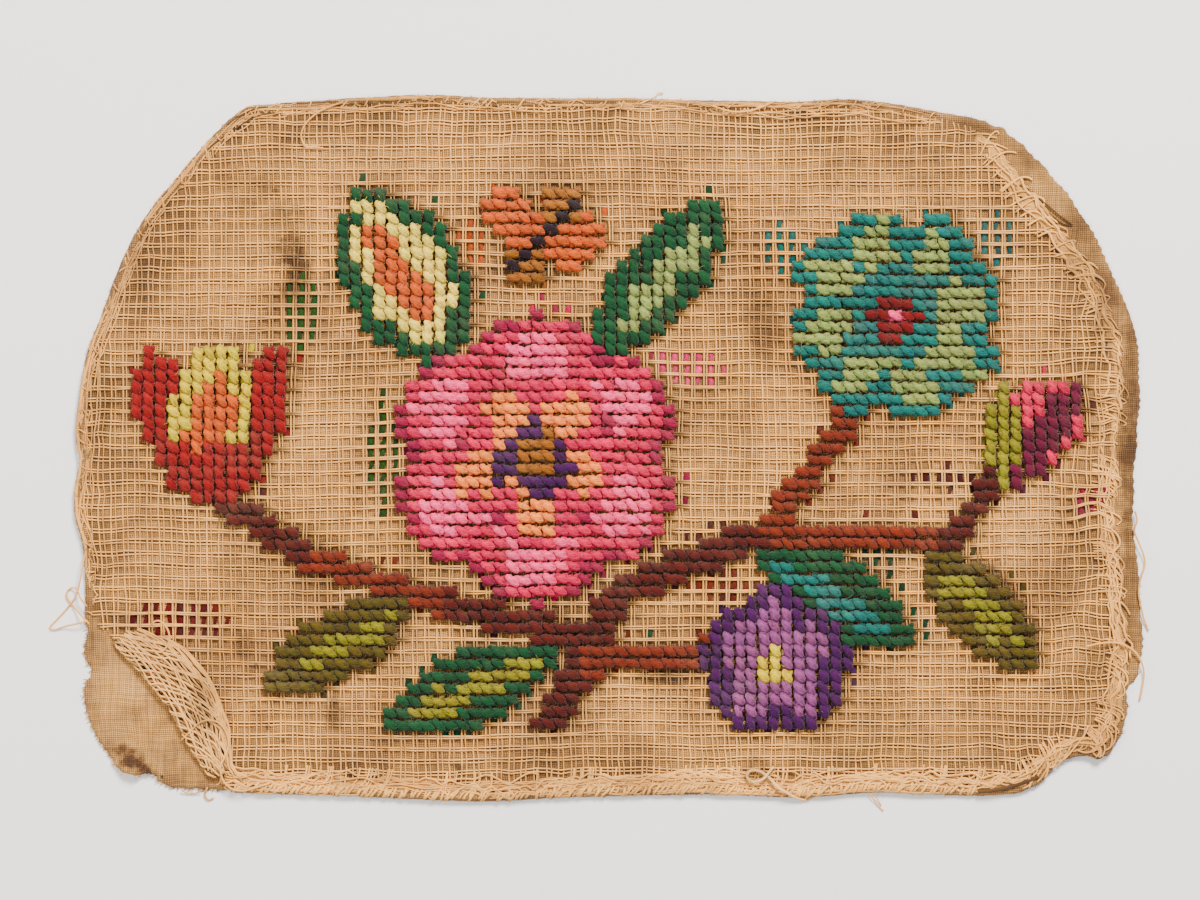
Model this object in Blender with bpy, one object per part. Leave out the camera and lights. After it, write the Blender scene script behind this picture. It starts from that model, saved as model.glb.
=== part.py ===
"""An old needlework panel: a calico backing, a canvas face with one corner folded back, and
wool cross-stitch motifs raised on the canvas. Sizes below are in millimetres."""
import math

import bmesh
import bpy
from mathutils import Matrix, Vector
from mathutils.geometry import delaunay_2d_cdt

MM = 0.001
PANEL_NAME = "Needlework panel"

# Middle of the outline below, which the finished panel has on its origin
MIDDLE_ACROSS = 0.2
MIDDLE_UP = -0.4

# Layers from the table up
CALICO_THICK = 1.0
CANVAS_THICK = 1.0
WOOL_THICK = 1.6
GAP = 0.3
CANVAS_SEAT = CALICO_THICK + GAP

# One cross-stitch covers one square of this pitch
STITCH = 3.36
STITCH_COLUMNS = 43
STITCH_ROWS = 27

# Depth of the groove between two rows of stitches, and of the chamfer round a motif
ROW_GROOVE = 0.6
WOOL_CHAMFER = 0.4

# A petal is an ellipse around this share of its reach, with this share as its half length. A
# lens is a parabola's arch raised to a power, with a little added so that its tips hold a stitch
PETAL_MIDDLE = 0.58
PETAL_HALF = 0.46
LENS_FULLNESS = 0.7
LENS_EDGE = 0.3

# Wear of a cut edge, and the share of it that shows on an edge with a hem this high or higher
FRAY = 0.45
HEMMED = 0.5
HEM_WEAR = 0.3
# Two slanting waves whose product makes the wear uneven, in radians to the millimetre
# across, up
FRAY_WAVES = ((0.83, 1.70), (-0.59, 1.31))

# Rings of the calico's rim from its worn edge inwards, and the share of a nick and of the
# rolled hem that each one has
# inset, nick_share, hem_share
CALICO_RIM = (
    (0.0, 1.0, 0.5),
    (1.3, 0.9, 1.0),
    (2.6, 0.6, 0.0),
)

# The canvas's rim: how much a turned hem adds to its height, the height of the outer edge, how
# far in its rounded shoulder, a turned hem and a frayed rim end, and how they narrow towards
# the torn corner
TURNED = 0.4
RIM_HEIGHT = 0.7
SHOULDER = 1.4
SMALLEST_TURNING = 2.2
TURNING = 4.6
FRAYED_TURNING = 3.0
NARROWING = 0.2
# Set-back of the rows that have no canvas, low enough to stay negative between rows
NO_CANVAS = -100.0

# Spacing of the points along an edge and across a puckered face
EDGE_STEP = 4.0
FACE_STEP = 10.0
LIFT_STEP = 6.0
# Half the area that the inner points are sought in, and how far from an edge they keep, as a
# share of their spacing
HALF_WIDTH = 150.0
HALF_HEIGHT = 100.0
EDGE_CLEARANCE = 0.6

# The panel's edge, clockwise from the left side above the torn corner: how far the canvas is
# set back from it, and how high its rolled hem stands
# across, up, set_back, hem
EDGE = (
    (-146.6, -47.0, 2.9, 0.9),
    (-146.4, -37.8, 2.9, 1.0),
    (-147.4, -27.0, 2.9, 1.0),
    (-149.6, -17.6, 2.9, 1.0),
    (-148.6, -5.0, 2.9, 1.0),
    (-149.0, 4.2, 2.9, 1.1),
    (-146.5, 24.1, 2.9, 1.2),
    (-141.7, 37.5, 2.9, 1.2),
    (-136.6, 51.2, 2.9, 1.2),
    (-129.9, 64.1, 2.9, 1.2),
    (-119.0, 77.6, 2.9, 1.2),
    (-111.4, 86.5, 2.9, 1.2),
    (-102.8, 94.2, 2.9, 1.0),
    (-93.8, 96.2, 2.9, 0.9),
    (-52.6, 98.7, 2.9, 0.8),
    (-31.1, 97.9, 2.9, 0.8),
    (9.5, 97.6, 2.9, 0.8),
    (48.2, 96.8, 2.9, 0.8),
    (69.4, 97.4, 2.9, 0.8),
    (89.0, 94.6, 3.0, 0.8),
    (107.0, 91.0, 4.5, 0.4),
    (114.0, 86.8, 7.0, 0.0),
    (122.6, 78.4, 9.5, 0.0),
    (131.9, 66.9, 9.0, 0.0),
    (140.6, 51.2, 6.5, 0.0),
    (148.0, 31.4, 6.5, 0.0),
    (149.2, 14.0, 7.0, 0.0),
    (147.4, -16.8, 7.0, 0.0),
    (149.6, -45.0, 6.5, 0.0),
    (149.6, -60.0, 5.0, 0.0),
    (146.4, -70.0, 4.0, 0.0),
    (144.6, -79.0, 3.5, 0.0),
    (139.0, -87.2, 3.5, 0.0),
    (131.6, -87.0, 3.5, 0.0),
    (125.6, -90.6, 3.5, 0.0),
    (118.4, -95.8, 3.2, 0.4),
    (106.1, -97.7, 2.9, 0.8),
    (75.0, -96.9, 2.9, 0.9),
    (54.6, -98.2, 2.9, 0.9),
    (25.8, -97.4, 2.9, 0.9),
    (-13.4, -98.3, 2.9, 0.9),
    (-37.0, -99.3, 2.9, 0.9),
    (-77.8, -97.7, 2.9, 0.9),
    (-98.0, -97.1, 2.9, 0.9),
    (-108.0, -96.7, 3.4, 0.4),
)

# The bare calico corner, where the canvas has come away, from the bottom edge to the left side
# across, up
BARE_CORNER = (
    (-124.9, -95.5),
    (-128.6, -92.6),
    (-136.1, -91.0),
    (-141.4, -84.6),
    (-146.2, -74.0),
    (-147.2, -62.0),
    (-146.8, -53.0),
)

# The crease along which the canvas corner is folded back, from the bottom edge to the left
# side, and how far the folded strip reaches over the face
# across, up, strip_width
CREASE = (
    (-110.4, -91.6, 5.0),
    (-116.2, -82.7, 10.4),
    (-121.5, -72.8, 12.2),
    (-128.5, -63.8, 11.6),
    (-136.5, -55.0, 6.5),
)

# Section of the folded strip: distance from the crease towards the face, as a share of the
# strip's width once past the bend, and height above the canvas's underside
# inward, share, height
FOLD_SECTION = (
    (-1.1, 0.00, 0.5),
    (-1.5, 0.00, 1.4),
    (-0.9, 0.00, 2.3),
    (0.0, 0.10, 3.0),
    (0.0, 0.45, 3.4),
    (0.0, 0.85, 3.0),
    (0.0, 1.00, 2.2),
    (0.0, 0.88, 1.6),
    (0.0, 0.45, 2.1),
    (0.0, 0.12, 1.8),
    (-0.2, 0.00, 1.4),
)
# Unevenness of the strip's free edge, and its turn from one section to the next in radians
FOLD_RIPPLE = 0.35
RIPPLE_TURN = 1.9

# Nicks torn in the edge
# across, up, depth, reach
NICKS = (
    (-147.0, -63.0, 2.2, 2.6),
    (-149.0, -2.6, 1.8, 2.4),
    (-127.0, -94.0, 1.4, 3.0),
    (148.6, -69.0, 1.6, 3.0),
    (127.0, -90.0, 1.4, 3.0),
    (-148.0, -52.0, 1.2, 2.5),
)

# Places where the edge curls up off the table
# across, up, radius, height
CURLS = (
    (-133.0, -92.0, 11.0, 2.6),
    (137.0, -88.5, 22.0, 2.0),
    (119.0, -96.5, 14.0, 1.0),
)

# Soft puckers of the canvas face, flat beyond their own half sizes
# across, up, half_length, half_width, height
PUCKERS = (
    (110.0, -23.0, 27.0, 23.0, 1.1),
    (138.0, 10.0, 16.0, 70.0, 0.7),
    (-80.0, 84.0, 45.0, 19.0, 0.6),
    (-118.0, 30.0, 26.0, 46.0, 0.6),
    (60.0, 82.0, 75.0, 15.0, 0.5),
    (10.0, -84.0, 90.0, 15.0, 0.5),
    (70.0, -60.0, 30.0, 25.0, 0.5),
    (-60.0, -78.0, 40.0, 19.0, 0.5),
)

# Motifs as the plain shapes that make up their outlines, in stitches from the panel's middle.
# A disc has half axes and a tilt, petals have a reach and a count, and a lens or a stroke runs
# from one point to another.
# shape, column, row, to_column, to_row, width, turn
MOTIFS = {
    "wool_stems": (
        ("stroke", -5, -23, 1, -12, 2.6, 0),
        ("stroke", 1, -12, 13, -7, 2.6, 0),
        ("stroke", 13, -7, 21, 4, 2.2, 0),
        ("stroke", 13, -7, 28, -8, 1.9, 0),
        ("stroke", 28, -8, 33, -2, 1.9, 0),
        ("stroke", -1, -16, -14, -13, 2.4, 0),
        ("stroke", -14, -13, -25, -9, 2.2, 0),
        ("stroke", -25, -9, -32, -4, 2.2, 0),
        ("stroke", -2, -18, 9, -17, 2.2, 0),
    ),
    "wool_leaf_low": (("lens", -5, -17, -18, -23, 5.6, 0),),
    "wool_leaf_right": (("lens", 13, -9, 25, -16, 5.8, 0),),
    "wool_leaf_far": (("lens", 27, -9, 35, -18, 5.2, 0),),
    "wool_leaf_left": (("lens", -17, -13, -28, -20, 5.2, 0),),
    "wool_leaf_top": (("lens", -1, 8, 9, 20, 6.2, 0),),
    "wool_leaf_gold": (("lens", -13, 7, -21, 21, 9.0, 0),),
    "wool_rose": (
        ("petals", -6, -1, 11.6, 6, 11.4, 90),
        ("disc", -6, -1, 6.8, 6.4, 0, 0),
    ),
    "wool_aster": (
        ("petals", 24, 11, 8.8, 8, 6.4, 12),
        ("disc", 24, 11, 4.2, 4.2, 0, 0),
    ),
    "wool_tulip": (
        ("lens", -33, -4, -38, 8, 5.6, 0),
        ("lens", -33, -4, -27, 8, 5.6, 0),
        ("lens", -33, -4, -32.5, 9, 6.4, 0),
        ("disc", -32.6, -2, 3.8, 2.4, 0, 0),
    ),
    "wool_pansy": (
        ("petals", 14, -18, 6.0, 5, 6.8, 90),
        ("disc", 14, -18, 1.2, 1.2, 0, 0),
    ),
    "wool_bud": (
        ("disc", 36, 2, 3.4, 3.8, 0, -20),
        ("lens", 34, -3, 39, 5, 2.4, 0),
        ("lens", 33, -3, 33, 5, 2.4, 0),
    ),
    "wool_butterfly": (
        ("disc", -3, 17, 2.6, 2.0, 0, 60),
        ("disc", -8, 19, 2.6, 2.0, 0, -40),
        ("disc", -7, 15, 1.8, 1.6, 0, 0),
        ("disc", -4, 20, 1.8, 1.6, 0, 0),
        ("stroke", -8, 15, -3, 20, 1.2, 0),
    ),
}

# Main colour of each motif's wool, as red, green and blue in linear light
WOOL_COLOURS = {
    "wool_stems": (0.13, 0.03, 0.01),
    "wool_leaf_low": (0.01, 0.11, 0.03),
    "wool_leaf_right": (0.01, 0.14, 0.06),
    "wool_leaf_far": (0.16, 0.12, 0.01),
    "wool_leaf_left": (0.16, 0.12, 0.01),
    "wool_leaf_top": (0.01, 0.11, 0.03),
    "wool_leaf_gold": (0.55, 0.22, 0.06),
    "wool_rose": (0.75, 0.10, 0.22),
    "wool_aster": (0.03, 0.24, 0.21),
    "wool_tulip": (0.55, 0.02, 0.01),
    "wool_pansy": (0.30, 0.08, 0.25),
    "wool_bud": (0.60, 0.02, 0.09),
    "wool_butterfly": (0.60, 0.15, 0.02),
}
CALICO_COLOUR = (0.56, 0.39, 0.24)
CANVAS_COLOUR = (0.62, 0.43, 0.25)


def clear_scene():
    for item in list(bpy.data.objects):
        bpy.data.objects.remove(item, do_unlink=True)


def make_material(name, colour):
    material = bpy.data.materials.new(name)
    material.use_nodes = True
    shader = material.node_tree.nodes["Principled BSDF"]
    shader.inputs["Base Color"].default_value = (*colour, 1.0)
    shader.inputs["Roughness"].default_value = 0.95
    shader.inputs["Metallic"].default_value = 0.0
    return material


def add_object(name, bm, colour, collection):
    """Turn a mesh in millimetres into an object of the panel, in metres and centred."""
    bmesh.ops.recalc_face_normals(bm, faces=bm.faces)
    centring = Matrix.Translation((-MIDDLE_ACROSS, -MIDDLE_UP, 0.0))
    bmesh.ops.transform(bm, matrix=Matrix.Scale(MM, 4) @ centring, verts=bm.verts)
    mesh = bpy.data.meshes.new(name)
    bm.to_mesh(mesh)
    bm.free()
    mesh.materials.append(make_material(name, colour))
    item = bpy.data.objects.new(name, mesh)
    collection.objects.link(item)
    return item


def blend_rows(rows, step, closed):
    """Run a smooth curve through the rows' first two columns, and carry the others along."""
    count = len(rows)
    points = []
    for k in range(count if closed else count - 1):
        if closed:
            before, start, end, after = (rows[(k + n) % count] for n in (-1, 0, 1, 2))
        else:
            before, start, end, after = (rows[min(max(k + n, 0), count - 1)] for n in (-1, 0, 1, 2))
        pieces = max(1, round(math.dist(start[:2], end[:2]) / step))
        for n in range(pieces):
            t = n / pieces
            place = [
                0.5 * (2 * b + (c - a) * t + (2 * a - 5 * b + 4 * c - d) * t * t
                       + (3 * b - a - 3 * c + d) * t ** 3)
                for a, b, c, d in zip(before[:2], start[:2], end[:2], after[:2])
            ]
            carried = [b + (c - b) * t for b, c in zip(start[2:], end[2:])]
            points.append((*place, *carried))
    if not closed:
        points.append(rows[-1])
    return points


def inward(points, k):
    """The level direction into a clockwise outline at one of its points."""
    ahead = points[(k + 1) % len(points)]
    back = points[k - 1]
    run = Vector((ahead[0] - back[0], ahead[1] - back[1])).normalized()
    return Vector((run.y, -run.x))


def set_in(points, distances):
    """Move each point of an outline into the panel by its own distance."""
    moved = []
    for k, distance in enumerate(distances):
        moved.append(Vector(points[k][:2]) + inward(points, k) * distance)
    return moved


def curl(x, y):
    """Height of the cloth's underside above the table."""
    height = 0.0
    for across, up, radius, rise in CURLS:
        share = max(0.0, 1.0 - math.hypot(x - across, y - up) / radius)
        height += rise * share * share
    return height


def pucker(x, y):
    """How much the canvas face stands up over its even thickness."""
    height = 0.0
    for across, up, half_length, half_width, rise in PUCKERS:
        share = ((x - across) / half_length) ** 2 + ((y - up) / half_width) ** 2
        height += rise * max(0.0, 1.0 - share) ** 2
    return height


def canvas_face(x, y):
    return CANVAS_SEAT + CANVAS_THICK + curl(x, y) + pucker(x, y)


def fray(x, y, hem):
    """Uneven wear of a cut edge, at least nothing, and slight where it is hemmed."""
    wear = 1 + math.prod(math.sin(across * x + up * y) for across, up in FRAY_WAVES)
    return FRAY * wear * (HEM_WEAR if hem >= HEMMED else 1.0)


def nick(x, y):
    """Depth of the tears at a point of the edge."""
    return sum(depth * math.exp(-((x - across) ** 2 + (y - up) ** 2) / reach ** 2)
               for across, up, depth, reach in NICKS)


def holds(outline, x, y):
    """Tell whether a point lies inside a closed outline."""
    within = False
    for k, (x1, y1) in enumerate(outline):
        x0, y0 = outline[k - 1]
        if (y0 > y) != (y1 > y) and x < x0 + (y - y0) * (x1 - x0) / (y1 - y0):
            within = not within
    return within


def field(outline, step, wanted):
    """Points of a staggered grid that lie well inside an outline, where they are wanted."""
    spots = []
    rows = int(HALF_HEIGHT / step) + 1
    columns = int(HALF_WIDTH / step) + 1
    for j in range(-rows, rows + 1):
        for i in range(-columns, columns + 1):
            x, y = (i + 0.5 * (j % 2)) * step, j * step
            clear = all(math.hypot(x - px, y - py) > EDGE_CLEARANCE * step for px, py in outline)
            if clear and wanted(x, y) and holds(outline, x, y):
                spots.append(Vector((x, y)))
    return spots


def fill_outline(bm, ring, spots, height):
    """Close a ring of vertices with triangles that also pass through the inner spots."""
    inner = [bm.verts.new((x, y, height(x, y))) for x, y in spots]
    flat = [Vector(v.co[:2]) for v in ring] + list(spots)
    loop = list(range(len(ring)))[::-1]
    result = delaunay_2d_cdt(flat, [], [loop], 1, 1e-5)
    source = list(ring) + inner
    for triangle in result[2]:
        bm.faces.new([source[result[3][k][0]] for k in triangle])


def add_ring(bm, places, height):
    return [bm.verts.new((x, y, height(k, x, y))) for k, (x, y) in enumerate(places)]


def join_rings(bm, lower, upper, skipped=()):
    """Stitch two rings of equal count together with quads."""
    for k in range(len(lower)):
        following = (k + 1) % len(lower)
        if k not in skipped:
            bm.faces.new((lower[k], lower[following], upper[following], upper[k]))


def build_backing(edge, collection):
    """The calico: flat on the table, with a rolled hem, torn nicks and curled corners."""
    hems = [hem for _, _, _, hem in edge]
    bm = bmesh.new()
    rings = []
    for inset, nick_share, hem_share in CALICO_RIM:
        wear = [nick_share * nick(x, y) + (0.0 if inset else fray(x, y, hem))
                for x, y, _, hem in edge]
        places = set_in(edge, [inset + worn for worn in wear])
        if not rings:
            rings.append(add_ring(bm, places, lambda k, x, y: curl(x, y)))
        rings.append(add_ring(bm, places, lambda k, x, y: (
            curl(x, y) + CALICO_THICK + hem_share * hems[k])))
    for lower, upper in zip(rings, rings[1:]):
        join_rings(bm, lower, upper)

    def curled(x, y):
        return any(math.hypot(x - across, y - up) < radius + LIFT_STEP
                   for across, up, radius, _ in CURLS)

    spots = field([tuple(vert.co[:2]) for vert in rings[-1]], LIFT_STEP, curled)
    fill_outline(bm, rings[-1], spots, lambda x, y: curl(x, y) + CALICO_THICK)
    fill_outline(bm, rings[0], spots, curl)
    return add_object("backing", bm, CALICO_COLOUR, collection)


def fold_back(bm, crease, outline, sole, rim):
    """Bend the cloth over at the crease and lay a strip of it back on the face."""
    first = len(outline) - len(crease)
    sections = []
    for n, (_, _, width) in enumerate(crease):
        k = first + n
        side = inward(outline, k)
        ripple = FOLD_RIPPLE * math.sin(RIPPLE_TURN * n)
        section = [sole[k]]
        for reach, share, height in FOLD_SECTION:
            place = Vector(outline[k]) + side * (reach + share * (width + ripple))
            section.append(bm.verts.new((*place, CANVAS_SEAT + height + share * ripple / 2)))
        section.append(rim[k])
        sections.append(section)
    for one, two in zip(sections, sections[1:]):
        for n in range(len(one) - 1):
            bm.faces.new((one[n], two[n], two[n + 1], one[n + 1]))
    bm.faces.new(sections[0])
    bm.faces.new(sections[-1])


def build_canvas(edge, collection):
    """The canvas face, with its torn corner folded back over it as one piece."""
    sides = set_in(edge, [set_back for _, _, set_back, _ in edge])
    kept = [(*place, row[3]) for place, row in zip(sides, edge) if row[2] > 0]
    crease = blend_rows(CREASE, EDGE_STEP, closed=False)
    outline = [row[:2] for row in kept + crease]
    turned = [TURNED if hem >= HEMMED else 0.0 for _, _, hem in kept] + [0.0] * len(crease)
    first = len(kept)
    last = len(outline) - 1

    wear = [fray(*row) for row in kept] + [0.0] * len(crease)
    worn = set_in(outline, wear)
    shoulder = set_in(outline, [SHOULDER] * len(outline))
    insets = []
    for place, hem in zip(outline, turned):
        to_corner = min(math.dist(place, outline[end]) for end in (first, last))
        widest = TURNING if hem else FRAYED_TURNING
        insets.append(min(widest, SMALLEST_TURNING + NARROWING * to_corner))
    hem_foot = set_in(outline, insets)

    def underside(x, y):
        return CANVAS_SEAT + curl(x, y)

    bm = bmesh.new()
    sole = add_ring(bm, worn, lambda k, x, y: underside(x, y))
    rim = add_ring(bm, worn, lambda k, x, y: underside(x, y) + RIM_HEIGHT + turned[k])
    top = add_ring(bm, shoulder, lambda k, x, y: canvas_face(x, y) + turned[k])
    flat = add_ring(bm, hem_foot, lambda k, x, y: canvas_face(x, y))
    join_rings(bm, sole, rim, skipped=range(first, last))
    join_rings(bm, rim, top)
    join_rings(bm, top, flat)
    fill_outline(bm, flat, field(hem_foot, FACE_STEP, lambda x, y: True), canvas_face)
    fill_outline(bm, sole, field(hem_foot, LIFT_STEP, lambda x, y: curl(x, y) > 0), underside)
    fold_back(bm, crease, outline, sole, rim)
    return add_object("canvas", bm, CANVAS_COLOUR, collection)


def covers(shape, i, j):
    """Tell whether a motif's shape covers the stitch in column i and row j."""
    kind, column, row, to_column, to_row, width, turn = shape
    x, y = i - column, j - row
    if kind == "disc":
        c, s = math.cos(math.radians(turn)), math.sin(math.radians(turn))
        return ((x * c + y * s) / to_column) ** 2 + ((y * c - x * s) / to_row) ** 2 <= 1
    if kind == "petals":
        spread = 2 * math.pi / to_row
        bearing = math.atan2(y, x) - math.radians(turn)
        bearing -= spread * round(bearing / spread)
        reach = math.hypot(x, y)
        along = (reach * math.cos(bearing) / to_column - PETAL_MIDDLE) / PETAL_HALF
        return along ** 2 + (2 * reach * math.sin(bearing) / width) ** 2 <= 1
    run = Vector((to_column - column, to_row - row))
    share = Vector((x, y)).dot(run) / run.length_squared
    if not -0.5 / run.length <= share <= 1 + 0.5 / run.length:
        return False
    across = abs(x * run.y - y * run.x) / run.length
    if kind == "stroke":
        return across <= width / 2
    share = min(1.0, max(0.0, share))
    return across <= width / 2 * (4 * share * (1 - share)) ** LENS_FULLNESS + LENS_EDGE


def chart_motifs():
    """Give each stitch of the panel to the last motif that covers it."""
    owner = {}
    for name, shapes in MOTIFS.items():
        for i in range(-STITCH_COLUMNS, STITCH_COLUMNS + 1):
            for j in range(-STITCH_ROWS, STITCH_ROWS + 1):
                if any(covers(shape, i, j) for shape in shapes):
                    owner[i, j] = name
    return owner


def largest_patch(cells):
    """Keep the largest group of stitches that touch side to side."""
    left = set(cells)
    best = set()
    while left:
        patch = set()
        waiting = [min(left)]
        while waiting:
            cell = waiting.pop()
            if cell in left:
                left.remove(cell)
                patch.add(cell)
                i, j = cell
                waiting += [(i + 1, j), (i - 1, j), (i, j + 1), (i, j - 1)]
        if len(patch) > len(best):
            best = patch
    return best


def drop_corner_contacts(cells):
    """Take out stitches that touch another of the motif at a corner alone."""
    for i, j in sorted(cells):
        for di in (-1, 1):
            alone = (i + di, j) not in cells and (i, j + 1) not in cells
            if (i, j) in cells and (i + di, j + 1) in cells and alone:
                cells.discard((i, j))
    return largest_patch(cells)


def build_patch(name, cells, collection):
    """Raise one motif's rows of stitches as ropes with stepped ends, on the canvas face."""
    low_i = min(i for i, _ in cells)
    low_j = min(j for _, j in cells)
    columns = max(i for i, _ in cells) - low_i + 1
    rows = max(j for _, j in cells) - low_j + 1
    bm = bmesh.new()
    bmesh.ops.create_grid(bm, x_segments=columns, y_segments=2 * rows, size=0.5)
    middle = Vector((low_i + (columns - 1) / 2, low_j + (rows - 1) / 2, 0.0))
    frame = Matrix.Translation(middle) @ Matrix.Diagonal((columns, rows, 1.0, 1.0))
    bmesh.ops.transform(bm, matrix=frame, verts=bm.verts)
    spare = []
    for face in bm.faces:
        centre = face.calc_center_median()
        if (round(centre.x), round(centre.y)) not in cells:
            spare.append(face)
    bmesh.ops.delete(bm, geom=spare, context="FACES")

    trim = bm.verts.layers.float_vector.new("trim")
    groove = bm.verts.layers.float.new("groove")
    for vert in bm.verts:
        pull = sum((face.calc_center_median() - vert.co for face in vert.link_faces), Vector())
        if vert.is_boundary:
            vert[trim] = [0 if abs(part) < 0.1 else math.copysign(1, part) for part in pull]
        between_rows = abs(vert.co.y - round(vert.co.y)) > 0.25
        vert[groove] = ROW_GROOVE if between_rows else WOOL_CHAMFER * vert.is_boundary
    for vert in bm.verts:
        vert.co = vert.co * STITCH + vert[trim] * GAP / 2
        vert.co.z = canvas_face(vert.co.x, vert.co.y) + GAP
    raised = bmesh.ops.extrude_face_region(bm, geom=bm.faces[:])["geom"]
    for vert in (item for item in raised if isinstance(item, bmesh.types.BMVert)):
        vert.co += vert[trim] * WOOL_CHAMFER
        vert.co.z += WOOL_THICK - vert[groove]
    return add_object(name, bm, WOOL_COLOURS[name], collection)


def main():
    clear_scene()
    collection = bpy.data.collections.new(PANEL_NAME)
    bpy.context.scene.collection.children.link(collection)

    bare = tuple((x, y, NO_CANVAS, 0.0) for x, y in BARE_CORNER)
    edge = blend_rows(EDGE + bare, EDGE_STEP, closed=True)
    build_backing(edge, collection)
    build_canvas(edge, collection)
    owner = chart_motifs()
    for name in MOTIFS:
        cells = {cell for cell, motif in owner.items() if motif == name}
        build_patch(name, drop_corner_contacts(largest_patch(cells)), collection)


main()
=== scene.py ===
"""Looks of an old needlework panel: woven calico, an open canvas net with one corner folded
back, wool cross-stitch, a worn hem, frays and loose threads. Lengths here are in millimetres on
the panel's plan, across and up from its middle, and become metres in to_metres alone."""
import itertools
import math
import random

import bpy
import numpy as np
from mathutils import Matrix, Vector
from mathutils.geometry import delaunay_2d_cdt


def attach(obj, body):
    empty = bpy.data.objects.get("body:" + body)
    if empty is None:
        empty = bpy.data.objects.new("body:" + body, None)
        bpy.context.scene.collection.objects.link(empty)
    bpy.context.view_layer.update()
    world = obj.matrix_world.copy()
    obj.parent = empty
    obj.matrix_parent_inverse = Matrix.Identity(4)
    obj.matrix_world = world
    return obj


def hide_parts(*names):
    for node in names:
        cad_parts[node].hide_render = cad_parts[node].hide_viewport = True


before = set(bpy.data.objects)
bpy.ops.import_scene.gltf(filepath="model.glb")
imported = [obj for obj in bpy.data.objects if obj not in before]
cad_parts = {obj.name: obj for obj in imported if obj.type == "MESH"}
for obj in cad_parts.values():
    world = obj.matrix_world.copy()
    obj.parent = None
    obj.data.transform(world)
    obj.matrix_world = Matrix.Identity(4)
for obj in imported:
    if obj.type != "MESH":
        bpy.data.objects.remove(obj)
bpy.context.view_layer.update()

MM = 0.001
MIDDLE_ACROSS = 0.2
MIDDLE_UP = -0.4

# The calico's thickness where it lies flat
CALICO_THICK = 1.0

# The picture's middle on the plan, how much of the plan it shows, and the camera above it
VIEW_ACROSS = -2.24
VIEW_UP = -0.84
VIEW_WIDTH = 336.0
CAMERA_HEIGHT = 1.2
SENSOR_WIDTH = 36.0

# One cross-stitch covers one crossing of two pairs of canvas threads
STITCH = 3.36
COLUMNS = 45
ROWS = 30
STITCH_COLUMNS = 43
STITCH_ROWS = 27
PETAL_MIDDLE = 0.58
PETAL_HALF = 0.46
LENS_FULLNESS = 0.7
LENS_EDGE = 0.3

# Canvas threads: half their spacing in a pair, half width and height, rise over a crossing, and
# the middle height of the net where it lies flat
WARP_SPREAD = 0.66
WEFT_SPREAD = 0.43
THREAD_WIDE = 0.22
THREAD_HIGH = 0.19
CROSSING_RISE = 0.20
NET_HEIGHT = 1.24
# How far the wool lifts the net, and over how many stitches that fades
WOOL_LIFT = 0.75
LIFT_REACH = 1.7

# Wear of a cut edge, and the share of it that shows on an edge with a hem this high or higher
FRAY = 0.45
HEMMED = 0.5
HEM_WEAR = 0.3
# across, up
FRAY_WAVES = ((0.83, 1.70), (-0.59, 1.31))
NO_CANVAS = -100.0

# The calico's rim from its worn edge inwards: height over the table where there is no hem, and
# what share of the hem's height is added
# inset, nick_share, height, hem_share
CALICO_RIM = (
    (0.35, 1, 0.04, 0), (0, 1, 0.42, 0.05), (0.1, 1, 0.7, 0.4), (0.5, 1, 0.92, 0.85), (1.1, 0.9, 1, 1),
    (1.8, 0.8, 1, 0.85), (2.4, 0.7, 1, 0.35), (2.9, 0.6, 1, 0.02),
)
RIM_STEP = 1.2
CALICO_STEP = 3.0

# The panel's edge, clockwise from the left side above the torn corner: how far the canvas is
# set back from it, and how high its rolled hem stands
# across, up, set_back, hem
EDGE = (
    (-146.6, -47, 2.9, 0.9), (-146.4, -37.8, 2.9, 1), (-147.4, -27, 2.9, 1), (-149.6, -17.6, 2.9, 1),
    (-148.6, -5, 2.9, 1), (-149, 4.2, 2.9, 1.1), (-146.5, 24.1, 2.9, 1.2), (-141.7, 37.5, 2.9, 1.2),
    (-136.6, 51.2, 2.9, 1.2), (-129.9, 64.1, 2.9, 1.2), (-119, 77.6, 2.9, 1.2),
    (-111.4, 86.5, 2.9, 1.2), (-102.8, 94.2, 2.9, 1), (-93.8, 96.2, 2.9, 0.9), (-52.6, 98.7, 2.9, 0.8),
    (-31.1, 97.9, 2.9, 0.8), (9.5, 97.6, 2.9, 0.8), (48.2, 96.8, 2.9, 0.8), (69.4, 97.4, 2.9, 0.8),
    (89, 94.6, 3, 0.8), (107, 91, 4.5, 0.4), (114, 86.8, 7, 0), (122.6, 78.4, 9.5, 0),
    (131.9, 66.9, 9, 0), (140.6, 51.2, 6.5, 0), (148, 31.4, 6.5, 0), (149.2, 14, 7, 0),
    (147.4, -16.8, 7, 0), (149.6, -45, 6.5, 0), (149.6, -60, 5, 0), (146.4, -70, 4, 0),
    (144.6, -79, 3.5, 0), (139, -87.2, 3.5, 0), (131.6, -87, 3.5, 0), (125.6, -90.6, 3.5, 0),
    (118.4, -95.8, 3.2, 0.4), (106.1, -97.7, 2.9, 0.8), (75, -96.9, 2.9, 0.9), (54.6, -98.2, 2.9, 0.9),
    (25.8, -97.4, 2.9, 0.9), (-13.4, -98.3, 2.9, 0.9), (-37, -99.3, 2.9, 0.9), (-77.8, -97.7, 2.9, 0.9),
    (-98, -97.1, 2.9, 0.9), (-108, -96.7, 3.4, 0.4),
)

# The bare calico corner, from the bottom edge to the left side
# across, up
BARE_CORNER = (
    (-124.9, -95.5), (-128.6, -92.6), (-136.1, -91), (-141.4, -84.6), (-146.2, -74), (-147.2, -62),
    (-146.8, -53),
)

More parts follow.
